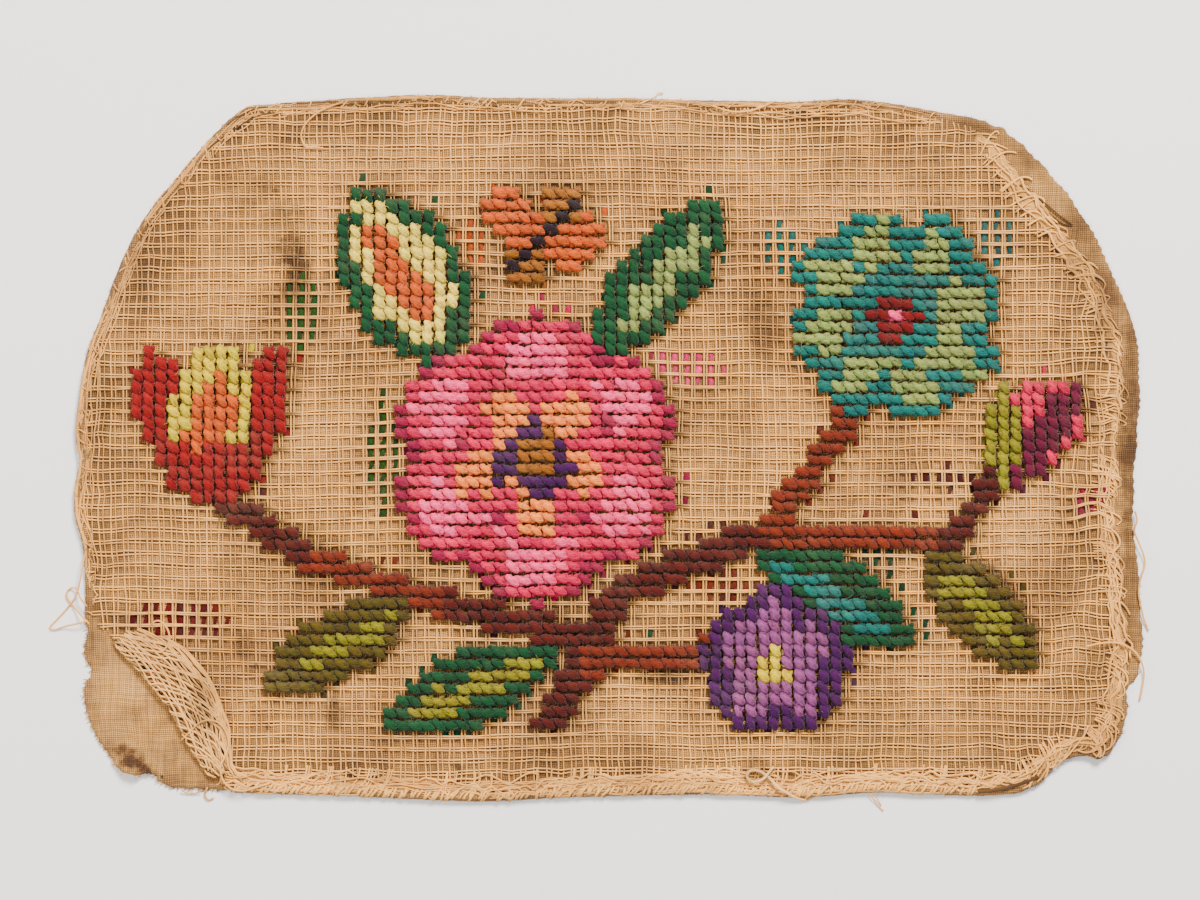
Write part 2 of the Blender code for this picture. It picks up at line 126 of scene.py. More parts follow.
# The crease along which the canvas corner is folded back, from the bottom edge to the left
# side, and how far the folded strip reaches over the face
# across, up, strip_width
CREASE = (
    (-110.4, -91.6, 5), (-116.2, -82.7, 10.4), (-121.5, -72.8, 12.2), (-128.5, -63.8, 11.6),
    (-136.5, -55, 6.5),
)

# Upper skin of the folded strip, from the crease's underside round its bend to the free edge:
# share of the way, reach over the crease, share of the strip's width, height over the table
# way, reach, share, height
FOLD_SKIN = (
    (0, -0.9, 0, 1.6), (0.07, -1.4, 0, 2.3), (0.14, -1, 0.02, 3.1), (0.24, 0, 0.1, 3.7),
    (0.55, 0, 0.45, 4), (0.88, 0, 0.85, 3.6), (1, 0, 1, 2.7),
)

# Nicks torn in the edge
# across, up, depth, reach
NICKS = (
    (-147, -63, 2.2, 2.6), (-149, -2.6, 1.8, 2.4), (-127, -94, 1.4, 3), (148.6, -69, 1.6, 3),
    (127, -90, 1.4, 3), (-148, -52, 1.2, 2.5),
)

# Places where the edge curls up off the table
# across, up, radius, height
CURLS = (
    (-133, -92, 11, 2.6), (137, -88.5, 22, 2), (119, -96.5, 14, 1),
)

# Soft puckers of the face, flat beyond their own half sizes
# across, up, half_length, half_width, height
PUCKERS = (
    (110, -23, 27, 23, 1.1), (138, 10, 16, 70, 0.7), (-80, 84, 45, 19, 0.6), (-118, 30, 26, 46, 0.6),
    (60, 82, 75, 15, 0.5), (10, -84, 90, 15, 0.5), (70, -60, 30, 25, 0.5), (-60, -78, 40, 19, 0.5),
)

# How much of a pucker's height the layers over it take up
PUCKER_SHARE = 0.9

# Wool colours as red, green and blue on a screen
WOOL = {
    "pink": "e84b76", "rose": "f4879c", "blush": "f3a080", "cream": "dcc98c",
    "gold": "b9761b", "purple": "5b1060", "crimson": "8e0a1c", "red": "b41e1c",
    "yellow": "d9c257", "teal": "138478", "slate": "3f7f78", "sage": "a3ae73",
    "green": "0a5b30", "olive": "6f5c10", "lime": "a39a15", "brown": "6e2210",
    "rust": "9a3f12", "orange": "e07818", "lilac": "a76a93", "plum": "7a0b3c",
    "magenta": "b8125a", "candy": "e6286e", "ink": "2d0a22", "fern": "3b6b20",
}

# How much brighter than its base colour wool stands in the lamps, and how much stronger its
# colours are laid on the paler they are
WOOL_LIT = 2.42
WOOL_DEPTH = 1.4

# Motifs as plain shapes, in stitches from the panel's middle: first the ones that make up the outline,
# then the ones that colour it inside. A disc has half axes and a tilt, petals have a reach and a count,
# and a lens or a stroke runs from one point to another. Before them stand a slot name and whether the
# stitches read as rows or as columns.
# slot, lie, outline and inside, each of: shape, column, row, to_column, to_row, width, turn, wool
MOTIFS = {
    "wool_stems": ("wool_brown", "row", (
        ("stroke", -5, -23, 1, -12, 2.6, 0, "brown"),
        ("stroke", 1, -12, 13, -7, 2.6, 0, "brown"),
        ("stroke", 13, -7, 21, 4, 2.2, 0, "rust"),
        ("stroke", 13, -7, 28, -8, 1.9, 0, "rust"),
        ("stroke", 28, -8, 33, -2, 1.9, 0, "brown"),
        ("stroke", -1, -16, -14, -13, 2.4, 0, "brown"),
        ("stroke", -14, -13, -25, -9, 2.2, 0, "rust"),
        ("stroke", -25, -9, -32, -4, 2.2, 0, "brown"),
        ("stroke", -2, -18, 9, -17, 2.2, 0, "rust"),
    ), ()),
    "wool_leaf_low": ("wool_green", "row", 
        (("lens", -5, -17, -18, -23, 5.6, 0, "green"),),
        (("lens", -6, -18, -16, -22, 1.6, 0, "lime"),)),
    "wool_leaf_right": ("wool_green", "row", 
        (("lens", 13, -9, 25, -16, 5.8, 0, "green"),),
        (("lens", 14, -10, 23, -15, 1.8, 0, "teal"),)),
    "wool_leaf_far": ("wool_olive", "row", 
        (("lens", 27, -9, 35, -18, 5.2, 0, "olive"),),
        (("lens", 28, -10, 33, -16, 1.4, 0, "lime"),)),
    "wool_leaf_left": ("wool_olive", "row", 
        (("lens", -17, -13, -28, -20, 5.2, 0, "olive"),),
        (("lens", -18, -14, -26, -19, 1.4, 0, "lime"),)),
    "wool_leaf_top": ("wool_green", "column", 
        (("lens", -1, 8, 9, 20, 6.2, 0, "green"),),
        (("lens", 1, 10, 8, 18, 1.8, 0, "sage"),)),
    "wool_leaf_gold": ("wool_gold", "column", 
        (("lens", -13, 7, -21, 21, 9.0, 0, "green"),),
        (("lens", -14, 9, -20.5, 20, 6.2, 0, "cream"),
         ("lens", -14.5, 10, -20, 18, 2.6, 0, "orange"))),
    "wool_rose": ("wool_pink", "row", 
        (("petals", -6, -1, 11.6, 6, 11.4, 90, "magenta"),
         ("disc", -6, -1, 6.8, 6.4, 0, 0, "magenta")),
        (("petals", -6, -1, 11.0, 6, 9.8, 90, "pink"),
         ("petals", -6, -1, 10.4, 6, 5.8, 90, "rose"),
         ("disc", -6, -1, 6.9, 6.5, 0, 0, "magenta"),
         ("petals", -6, -1, 7.2, 5, 6.4, 54, "pink"),
         ("petals", -6, -1, 6.4, 5, 3.4, 54, "blush"),
         ("disc", -6, -1, 3.2, 3.0, 0, 0, "purple"),
         ("disc", -6, -1, 1.7, 1.6, 0, 0, "gold"))),
    "wool_aster": ("wool_teal", "row", 
        (("petals", 24, 11, 8.8, 8, 6.4, 12, "teal"),
         ("disc", 24, 11, 4.2, 4.2, 0, 0, "slate")),
        (("petals", 24, 11, 8.0, 8, 3.2, 12, "sage"),
         ("disc", 24, 11, 4.2, 4.2, 0, 0, "slate"),
         ("petals", 24, 11, 4.6, 6, 2.4, 40, "teal"),
         ("disc", 24, 11, 2.0, 2.0, 0, 0, "crimson"),
         ("disc", 24, 11, 0.6, 0.6, 0, 0, "rose"))),
    "wool_tulip": ("wool_red", "column", 
        (("lens", -33, -4, -38, 8, 5.6, 0, "red"),
         ("lens", -33, -4, -27, 8, 5.6, 0, "red"),
         ("lens", -33, -4, -32.5, 9, 6.4, 0, "yellow"),
         ("disc", -32.6, -2, 3.8, 2.4, 0, 0, "red")),
        (("lens", -33, -1, -32.5, 6, 3.6, 0, "orange"),
         ("disc", -32.6, -2, 3.8, 2.4, 0, 0, "red"))),
    "wool_pansy": ("wool_violet", "column", 
        (("petals", 14, -18, 6.0, 5, 6.8, 90, "purple"),
         ("disc", 14, -18, 1.2, 1.2, 0, 0, "yellow")),
        (("petals", 14, -18, 5.2, 5, 3.8, 90, "lilac"),
         ("disc", 14, -18, 1.2, 1.2, 0, 0, "yellow"))),
    "wool_bud": ("wool_crimson", "column", 
        (("disc", 36, 2, 3.4, 3.8, 0, -20, "candy"),
         ("lens", 34, -3, 39, 5, 2.4, 0, "plum"),
         ("lens", 33, -3, 33, 5, 2.4, 0, "lime")),
        ()),
    "wool_butterfly": ("wool_orange", "row", 
        (("disc", -3, 17, 2.6, 2.0, 0, 60, "orange"),
         ("disc", -8, 19, 2.6, 2.0, 0, -40, "orange"),
         ("disc", -7, 15, 1.8, 1.6, 0, 0, "gold"),
         ("disc", -4, 20, 1.8, 1.6, 0, 0, "gold"),
         ("stroke", -8, 15, -3, 20, 1.2, 0, "ink")),
        ()),
}

# A leg of a cross-stitch from one end to its crossing, in stitches from there, with its height
# over the table and its half width and half height in millimetres. The other half mirrors it.
# along, aside, height, half_width, half_height
TOP_LEG = (
    (-0.52, -0.27, 2.15, 0.42, 0.34),
    (-0.46, -0.25, 2.70, 0.72, 0.56),
    (-0.34, -0.19, 3.02, 0.95, 0.70),
    (-0.18, -0.10, 3.16, 1.06, 0.76),
    (0.00, 0.00, 3.20, 1.10, 0.78),
)
BOTTOM_LEG = (
    (-0.47, -0.40, 2.05, 0.45, 0.35),
    (-0.33, -0.28, 2.50, 0.80, 0.48),
    (0.00, 0.00, 2.66, 0.95, 0.52),
)
TOP_SIDES = 10
BOTTOM_SIDES = 6
PLY_DEPTH = 0.07
PLY_TURN = 2.6
YARN_LUMPS = 0.055
FUZZ_PER_STITCH = 3

# Worn-away stitches whose backs still show behind the net, as filled ellipses of stitches
# column, row, half_columns, half_rows, wool
BACKS = (
    (-36, -15, 4.2, 1.6, "crimson"), (-19, -1, 1.2, 5.2, "fern"), (6, 6, 3.6, 1.3, "rose"),
    (40, -5, 1.8, 1.4, "magenta"), (-26, 11, 1.4, 3.4, "fern"), (9, -12, 3.4, 1.2, "rust"),
    (22, -10, 1.2, 3, "green"), (-9, -20, 3, 1.2, "olive"), (14, 16, 1.3, 2.4, "teal"),
    (32, 17, 1.3, 2.2, "slate"), (-12, 16, 1.2, 2.6, "orange"), (28, -3, 3.2, 1, "brown"),
    (3, -17, 1.2, 1.4, "green"),
)

# Stains that run through both cloths, with a few spots of painted shadow among them, and places that
# are paler than the rest, two of them painted highlight on bulges of the face
# across, up, half_length, half_width, strength
STAINS_AND_SHADOWS = (
    (-87.4, 50, 5, 13.5, 1), (-88.6, 56.5, 7, 4, 0.9), (-90, 64, 8, 6, 0.5), (-60, 97, 24, 2.2, 0.45),
    (2, 97.8, 22, 1.8, 0.4), (70, 96.6, 26, 2.2, 0.5), (102, 90, 10, 4, 0.4), (-141, 14, 3, 16, 0.4),
    (-131, 52, 4, 12, 0.4), (146, 0, 3.2, 46, 0.8), (139, 38, 4.5, 17, 0.65), (131.5, 52, 6, 7, 0.5),
    (-99, 73, 10, 6.5, 0.4), (15, -64, 8, 3.2, 0.85), (40, -60, 5, 2.8, 0.8),
    (-76.4, -75, 3.6, 5.5, 0.75), (-101.6, -55.4, 3, 4.5, 0.7), (-41.4, -89, 2.4, 1.6, 0.7),
    (43, 33, 6, 12, 0.7), (41.2, -90.4, 5.5, 3.2, 0.6), (134, 59, 7, 11, 0.45),
    (-80.6, -31.6, 9, 15, 0.35), (-104, -38.6, 6, 9, 0.35), (127, -43, 7, 11, 0.5),
    # The four spots about (-133, -88) paint the shadow in the hollow inside the curled lip, and the one
    # at (-113.5, -72) paints shade under the folded strip
    (136, -62, 6, 9, 0.4), (-136.5, -85, 3.8, 2.6, 0.95), (-132.6, -87, 3.6, 2.6, 1),
    (-133.4, -88.2, 3.4, 2, 1), (-130.4, -90.2, 3.6, 2.2, 1), (-113.5, -72, 4, 11, 0.45),
    (-60, 18, 20, 9, 0.25), (75, -82, 26, 8, 0.25),
)
SPECKS = (
    (-98.4, -61.3, 0.8, 1.1, 0.9), (-91.9, -68.8, 0.7, 1.5, 0.8), (-95.2, -78.5, 0.7, 1.1, 0.8),
    (-91, -82.3, 1, 0.6, 0.7), (-62, -84.6, 0.9, 0.6, 0.8), (-93, 71.7, 1.4, 1, 0.8),
    (22, -71, 0.7, 0.9, 0.7), (83, -78, 0.8, 0.6, 0.7), (101, 46, 0.6, 0.9, 0.7),
    (-38, 81, 0.8, 0.6, 0.6), (64, 74, 0.6, 0.8, 0.6), (-17, -85, 1.1, 0.7, 0.7),
)
PALE_AND_LIT_SPOTS = (
    # The pale places at (110, -23) and (-137, -66) are painted highlight on bulges of the face
    (110, -23, 17, 13, 0.75), (-112.3, 64, 1.6, 2.2, 0.9), (-137, -66, 9, 8, 0.6),
    (-40, -60, 24, 12, 0.45), (80, 62, 30, 14, 0.35), (-70, 80, 26, 8, 0.35), (127, 72, 8, 9, 0.5),
    (20, 86, 40, 8, 0.3),
)

# Threads that have come loose, and dark "shadow" strands of painted shadow in slits and cracks of the
# hem: colour, half thickness, and the points that each passes through
# across, up, height
LOOSE_AND_SHADOW_STRANDS = (
    ("thread", 0.24, ((-145.9, -29, 2), (-146.8, -33, 2.6), (-147.6, -37.5, 2.2), (-148.9, -41.7, 1),
        (-151.8, -45.6, 0.5), (-154.6, -48.6, 0.4), (-156.2, -50.4, 0.4), (-155.2, -51.2, 0.4),
        (-151.9, -50.2, 0.9), (-148.5, -49.4, 2), (-145.4, -48.6, 2.3))),
    ("thread", 0.24, ((-145, -49.4, 2.2), (-147.2, -47.2, 1.8), (-149.6, -44.6, 0.6),
        (-151.5, -42.1, 0.5), (-151.2, -40.2, 0.5), (-149.6, -39.3, 0.9), (-148.2, -40.4, 1.6),
        (-147.5, -42.2, 2.2), (-145.6, -44.6, 2.4))),
    ("white", 0.4, ((57.5, -97.6, 0.6), (55.2, -98.7, 0.6), (52.4, -98, 1.6), (49.6, -96.4, 2.9),
        (47.4, -95, 3.2), (45.2, -92.6, 3), (42.4, -90.6, 2.9), (39.7, -90.5, 2.9), (38.8, -92.2, 2.9),
        (40.6, -93.5, 3.1), (43.2, -92.8, 3.7), (45, -90.8, 3.1), (46.2, -89.4, 2.6))),
    ("thread", 0.27, ((147.4, -18, 1.5), (147.9, -20.8, 1.8), (147, -23.2, 2), (148.2, -26.3, 1.9),
        (149.7, -29.9, 1.4), (150.2, -32.9, 0.9), (149, -36.6, 1.5), (148.4, -40.8, 1.9),
        (149.6, -46.9, 1.2), (151.2, -51.4, 0.4))),
    ("thread", 0.28, ((133.5, -55.8, 2.6), (137.4, -54.9, 2.9), (142.2, -54.7, 2.8),
        (146.4, -56.5, 2.4), (148.9, -59.6, 1.9), (149.9, -63.3, 1.3), (149.4, -67.5, 0.8),
        (148.7, -71, 0.4))),
    ("thread", 0.22, ((-74, 96.4, 2.4), (-77.8, 95.1, 2.6), (-81, 93.5, 2.7), (-83.8, 91.1, 2.8),
        (-85.3, 88.8, 2.8), (-85.7, 86.4, 2.8), (-84.3, 84, 2.8), (-81.9, 83.9, 2.7),
        (-79.4, 83.4, 2.4))),
    ("white", 0.2, ((8.8, 95.9, 2.2), (11.8, 97.2, 2.2), (13.4, 98.2, 1.4), (14.1, 99.2, 0.8),
        (15.4, 98.9, 0.5))),
    ("thread", 0.25, ((29, 95.4, 2.3), (32.6, 94.2, 2.6), (36, 93.6, 2.7), (39.8, 94, 2.7),
        (43, 95, 2.5), (46.8, 96.7, 1.9))),
    ("thread", 0.25, ((-127.6, -49.6, 3.2), (-126.1, -48.5, 4.4), (-124.5, -48.8, 4.8),
        (-122.9, -50.8, 4.6), (-122.3, -53.2, 4.6), (-122.9, -55.4, 4.4), (-124.6, -57.4, 4.2))),
    ("thread", 0.25, ((-119.3, -82, 1.6), (-116.8, -79.6, 3.4), (-114, -77, 4.5), (-111.5, -76.2, 4.6),
        (-108.8, -76.9, 4.2), (-106.7, -79.5, 3.4), (-106, -83.2, 3), (-107, -86.5, 3),
        (-108.3, -89.4, 3), (-107.6, -92.9, 2.8), (-105.5, -95.3, 2.6), (-102.4, -96.1, 2.6),
        (-98.6, -95.2, 2.7), (-94.6, -94, 2.5))),
    ("thread", 0.17, ((72.8, -96.2, 1.6), (74, -98.2, 0.9), (75.2, -100, 0.4), (77, -101.9, 0.3))),
    ("thread", 0.14, ((74, -96.6, 1.5), (75.6, -98.8, 0.6), (76.4, -100.4, 0.3))),
    ("thread", 0.22, ((-119.4, -96, 1), (-117.6, -97, 0.5), (-115.4, -96.9, 0.6),
        (-113.6, -96.2, 1.2))),
    ("thread", 0.26, ((-112, -95.2, 1.6), (-112.9, -97.4, 0.6), (-111.8, -98.9, 0.4),
        (-110.4, -98.2, 0.6))),
    ("thread", 0.22, ((117.4, -85.6, 2.6), (118.8, -88, 3.3), (119.9, -90.4, 3.2),
        (118.4, -92.2, 2.7))),
    ("thread", 0.22, ((121.8, -87.4, 2.8), (120.2, -89.4, 3.6), (117.6, -91, 3.1),
        (114.6, -92.4, 2.6))),
    ("shadow", 0.6, ((103.4, -96.4, 2.1), (107.4, -96, 2.3), (111.4, -95.2, 2.3), (114.8, -94.2, 2.3),
        (117.8, -93.2, 2.2), (120.2, -92.2, 2))),
    ("shadow", 0.22, ((-106.4, 90, 2.05), (-103.8, 92, 2.05), (-101.4, 93.4, 2), (-98.4, 94.6, 2),
        (-95, 95, 2))),
    ("shadow", 0.22, ((-104.4, 88.8, 1.75), (-101.8, 90.6, 1.8), (-99, 92, 1.8), (-96.3, 93, 1.8),
        (-93, 93.4, 1.8))),
    ("shadow", 0.24, ((115.1, 73.3, 1.5), (118.6, 71, 1.5), (122.4, 68, 1.45), (126.2, 64.8, 1.4),
        (129.8, 62.2, 1.35))),
    ("shadow", 0.2, ((-111.8, 83.2, 1.95), (-109.6, 85.2, 1.95), (-107.4, 86.9, 1.95))),
    ("shadow", 0.2, ((115, 72.4, 1.25), (118.2, 69.6, 1.25), (121.6, 66.9, 1.25), (124.4, 64.5, 1.25),
        (127.2, 62.5, 1.25), (129.9, 61.8, 1.2))),
)

# Colours against the thread's own: of the loose threads, where "shadow" marks dark strands of painted
# shadow in slits and cracks; of the dark strands of painted shade in the narrow gap between the two
# threads of a pair; of the folded net's cleaner back; and of the hem's folds, the dark ones painted
# shade in its cracks
THREAD_SHADES = {"thread": (1, 1, 1), "white": (1.02, 1.18, 1.9), "shadow": (0.10, 0.09, 0.11)}
PAIR_GAP_SHADE = (0.12, 0.11, 0.13)
FOLD_PALER = np.array((1, 1.05, 1.25))
HEM_RIDGE_TINT = np.array((1, 0.95, 0.92))
HEM_CRACK_SHADE = np.array((0.15, 0.14, 0.16))

# Base colours of both cloths, new and old, and of their stained and bleached places; the brown of the
# stains also paints shadow, and the bleached colour also paints highlight
CALICO_PALE = (0.56, 0.272, 0.072)
CALICO_TAN = (0.26, 0.122, 0.041)
THREAD_PALE = (0.92, 0.450, 0.105)
THREAD_TAN = (0.62, 0.288, 0.068)
STAIN_AND_SHADOW_BROWN = (0.085, 0.036, 0.014)
BLEACHED_AND_LIT = (0.84, 0.43, 0.12)
CALICO_THREAD = 0.56

# Layers of the folded corner's net, from its top: how far each lies below it, its brightness, which is
# painted shade that darkens the deeper layers, and how many threads run over the fold and along it
# sink, shade, crossing, lengthwise
FOLD_LAYERS = ((0, 1, 23, 10), (0.6, 0.74, 18, 9), (1.1, 0.42, 20, 8))
CREASE_THREADS = 9
FOLD_WIDTH = 11.0

# The rolled hem across its width: inset from the worn edge, and the share of its height that
# folds and matted threads lie at there
HEM_INSET = (0, 0.5, 1.1, 1.8, 2.4, 2.9, 4)
HEM_FOLDED = (0.4, 0.85, 1, 0.85, 0.4, 0.1, 0.1)
HEM_MATTED = (0.4, 0.85, 1, 0.85, 0.4, 0.16, 0.2)

# Where the bottom hem is, and the stretch of it that is torn open, on the plan
BOTTOM_BELOW = -80
TORN_OPEN = (104, 121)

# How many threads lie along and out of the edges
RAW_CORDS = 84
SLACK_THREADS = 70
HEM_FOLDS = 120
MATTED_THREADS = 330
HOOKED_ENDS = 170

FLOOR_HALF = 12.0
# name, place, size, power, colour
LAMPS = (
    ("key", (0.35, 0.85, 0.95), 0.45, 50.0, (1.0, 0.97, 0.93)),
    ("fill", (-0.8, -0.2, 0.8), 0.9, 12.0, (1.0, 0.98, 0.96)),
)
STUDIO_LIGHT = 0.66


def to_metres(points):
    points = np.asarray(points, dtype=float)
    return (points - (MIDDLE_ACROSS, MIDDLE_UP, 0.0)) * MM


def linear(code):
    """Turn a screen colour into linear light."""
    parts = [int(code[k:k + 2], 16) / 255 for k in (0, 2, 4)]
    return np.array([part / 12.92 if part < 0.04045 else ((part + 0.055) / 1.055) ** 2.4
                     for part in parts])


def dyed(code):
    """The base colour that shows as a screen colour once the picture's soft tone is laid on."""
    light = linear(code)
    middle = light.mean()
    gain = (1.05 + 7.5 * middle ** 3) / WOOL_LIT
    return np.clip(gain * (middle + (1 + WOOL_DEPTH * middle) * (light - middle)), 0.002, 0.97)


def smooth(edge_low, edge_high, value):
    share = np.clip((value - edge_low) / (edge_high - edge_low), 0.0, 1.0)
    return share * share * (3 - 2 * share)


def grain(x, y, size, seed):
    """Smooth unevenness between -1 and 1, in bumps about one size apart."""
    table = np.random.default_rng(seed).uniform(-1, 1, (64, 64))
    x, y = np.asarray(x, dtype=float) / size, np.asarray(y, dtype=float) / size
    i, j = np.floor(x).astype(int), np.floor(y).astype(int)
    u, v = smooth(0, 1, x - i), smooth(0, 1, y - j)
    i0, i1, j0, j1 = i % 64, (i + 1) % 64, j % 64, (j + 1) % 64
    low = table[i0, j0] * (1 - u) + table[i1, j0] * u
    high = table[i0, j1] * (1 - u) + table[i1, j1] * u
    return low * (1 - v) + high * v


def bend(before, start, end, after, t):
    """Where a smooth curve through four points is on its way from the second to the third."""
    return 0.5 * (2 * start + (end - before) * t
                  + (2 * before - 5 * start + 4 * end - after) * t * t
                  + (3 * start - before - 3 * end + after) * t ** 3)


def waves(x, y, *rows):
    """Unevenness of several sizes added up, each row its share, size and seed."""
    return sum(share * grain(x, y, size, seed) for share, size, seed in rows)


def blend_rows(rows, step, closed):
    """Run a smooth curve through the rows' first two columns, and carry the others along."""
    count = len(rows)
    points = []
    for k in range(count if closed else count - 1):
        near = [k + n if closed else min(max(k + n, 0), count - 1) for n in (-1, 0, 1, 2)]
        before, start, end, after = (rows[place % count] for place in near)
        pieces = max(1, round(math.dist(start[:2], end[:2]) / step))
        for n in range(pieces):
            t = n / pieces
            place = [bend(before[k], start[k], end[k], after[k], t) for k in (0, 1)]
            points.append((*place, *(b + (c - b) * t for b, c in zip(start[2:], end[2:]))))
    return points if closed else points + [rows[-1]]


def curve_through(points, step):
    """A smooth path in space through given points."""
    points = np.array(points, dtype=float)
    last = len(points) - 1
    path = []
    for k in range(last):
        before, start, end, after = points[[max(k - 1, 0), k, k + 1, min(k + 2, last)]]
        pieces = max(1, round(float(np.linalg.norm(end - start)) / step))
        path += [bend(before, start, end, after, n / pieces) for n in range(pieces)]
    return np.array(path + [points[-1]])


def unit(vectors):
    return vectors / (np.linalg.norm(vectors, axis=-1)[..., None] + 1e-9)


def travel_along(line):
    """The distance along a line of points up to each of them."""
    return np.concatenate(([0.0], np.cumsum(np.linalg.norm(np.diff(line[:, :2], axis=0), axis=1))))


def inwards(points):
    """The level directions into a clockwise outline, one for each of its points."""
    run = np.roll(points, -1, axis=0) - np.roll(points, 1, axis=0)
    run /= np.linalg.norm(run, axis=1)[:, None]
    return np.stack((run[:, 1], -run[:, 0]), axis=1)


def curl(x, y):
    """Height of the cloth's underside above the table."""
    height = 0.0
    for across, up, radius, rise in CURLS:
        share = np.maximum(0.0, 1.0 - np.hypot(x - across, y - up) / radius)
        height = height + rise * share * share
    return height


def pucker(x, y):
    """How much the face stands up over its even thickness."""
    height = 0.0
    for across, up, half_length, half_width, rise in PUCKERS:
        share = ((x - across) / half_length) ** 2 + ((y - up) / half_width) ** 2
        height = height + rise * np.maximum(0.0, 1.0 - share) ** 2
    return height


def fray(x, y, hem):
    """Uneven wear of a cut edge, at least nothing, and slight where it is hemmed."""
    wear = 1.0
    for across, up in FRAY_WAVES:
        wear = wear * np.sin(across * x + up * y)
    return FRAY * (1 + wear) * np.where(hem >= HEMMED, HEM_WEAR, 1.0)


def nick(x, y):
    """Depth of the tears at a point of the edge."""
    return sum(depth * np.exp(-((x - across) ** 2 + (y - up) ** 2) / reach ** 2)
               for across, up, depth, reach in NICKS)


def holds(outline, places):
    """Tell which places lie inside a closed outline."""
    x, y = places[:, 0:1], places[:, 1:2]
    x1, y1 = outline[:, 0], outline[:, 1]
    x0, y0 = np.roll(x1, 1), np.roll(y1, 1)
    level = np.where(y1 == y0, 1.0, y1 - y0)
    crosses = ((y0 > y) != (y1 > y)) & (x < x0 + (y - y0) * (x1 - x0) / level)
    return crosses.sum(axis=1) % 2 == 1


def nearest(outline, places):
    """Distance from each place to the outline's points, and the number of the nearest."""
    gaps = np.linalg.norm(places[:, None, :] - outline[None, :, :], axis=2)
    return gaps.min(axis=1), gaps.argmin(axis=1)


def outline_area(outline):
    following = np.roll(outline, -1, axis=0)
    return abs(float(np.sum(outline[:, 0] * following[:, 1]
                            - outline[:, 1] * following[:, 0]))) / 2


# The outlines of both cloths, worked out once
BARE_ROWS = tuple((x, y, NO_CANVAS, 0.0) for x, y in BARE_CORNER)
RIM = np.array(blend_rows(EDGE + BARE_ROWS, RIM_STEP, closed=True))
RIM_IN = inwards(RIM[:, :2])
WITH_CANVAS = RIM[:, 2] > 0
CREASE_LINE = np.array(blend_rows(CREASE, RIM_STEP, closed=False))
CANVAS_RIM = np.concatenate((
    (RIM[:, :2] + RIM_IN * RIM[:, 2:3])[WITH_CANVAS], CREASE_LINE[:, :2]))
CANVAS_HEM = np.concatenate((RIM[WITH_CANVAS, 3], np.full(len(CREASE_LINE), -1.0)))
RIM_TRAVEL = travel_along(RIM)
CREASE_TRAVEL = travel_along(CREASE_LINE)
CREASE_LENGTH = float(CREASE_TRAVEL[-1])


class Bundle:
    """Collects tubes of thread or yarn that become one piece."""

    def __init__(self):
        self.points, self.tints, self.quads, self.caps, self.runs = [], [], [], [], []
        self.count = 0

    def add(self, paths, wide, high, sides, tint, ply_depth=0.0, lumps=0.0):
        """Add one path, or many of equal length, as tubes with an oval section."""
        paths = np.asarray(paths, dtype=float)
        paths = paths[None] if paths.ndim == 2 else paths
        strands, steps, _ = paths.shape
        wide = np.broadcast_to(wide, (strands, steps))
        high = np.broadcast_to(high, (strands, steps))
        tangent = unit(np.gradient(paths, axis=1))
        side = unit(np.cross((0.0, 0.0, 1.0), tangent))
        rise = np.cross(tangent, side)
        travel = np.linalg.norm(np.diff(paths, axis=1), axis=2)
        travel = np.concatenate((np.zeros((strands, 1)), np.cumsum(travel, axis=1)), axis=1)
        turn = 2 * np.pi * np.arange(sides) / sides
        ply = 1 + ply_depth * np.cos(2 * (turn[None, None] - PLY_TURN * travel[:, :, None]))
        if lumps:
            ply = ply * (1 + lumps * np.random.default_rng(self.count).normal(
                0, 1, (strands, steps, sides)))
        ring = paths[:, :, None]
        ring = ring + side[:, :, None] * (np.cos(turn) * wide[:, :, None] * ply)[..., None]
        ring = ring + rise[:, :, None] * (np.sin(turn) * high[:, :, None] * ply)[..., None]
        index = self.count + np.arange(strands * steps * sides).reshape(strands, steps, sides)
        turned = np.roll(index, -1, axis=2)
        quads = np.stack((index[:, :-1], turned[:, :-1], turned[:, 1:], index[:, 1:]), axis=-1)
        self.quads.append(quads.reshape(-1, 4))
        self.caps.append((index[:, 0, ::-1], index[:, -1]))
        self.points.append(ring.reshape(-1, 3))
        tint = np.asarray(tint, dtype=float)
        tint = tint[:, None, None] if tint.ndim == 2 else tint
        tint = tint[:, :, None] if tint.ndim == 3 and tint.shape[1] == steps else tint
        self.tints.append(np.broadcast_to(tint, (strands, steps, sides, 3)).reshape(-1, 3))
        girth = np.arange(sides + 1) * 0.5
        near, far = travel[:, :-1, None], travel[:, 1:, None]
        corners = [np.stack(np.broadcast_arrays(along, around), -1) for along, around in (
            (near, girth[:-1]), (near, girth[1:]), (far, girth[1:]), (far, girth[:-1]))]
        self.runs.append(np.stack(corners, axis=3).reshape(-1, 2))
        self.count += strands * steps * sides

    def finish(self, name, material):
        faces = [np.concatenate(self.quads)]
        for first, last in self.caps:
            faces += [first, last]
        cap_corners = sum(face.size for face in faces[1:])
        runs = np.concatenate(self.runs + [np.zeros((cap_corners, 2))])
        return add_piece(name, np.concatenate(self.points), faces, material,
                         np.concatenate(self.tints), runs)


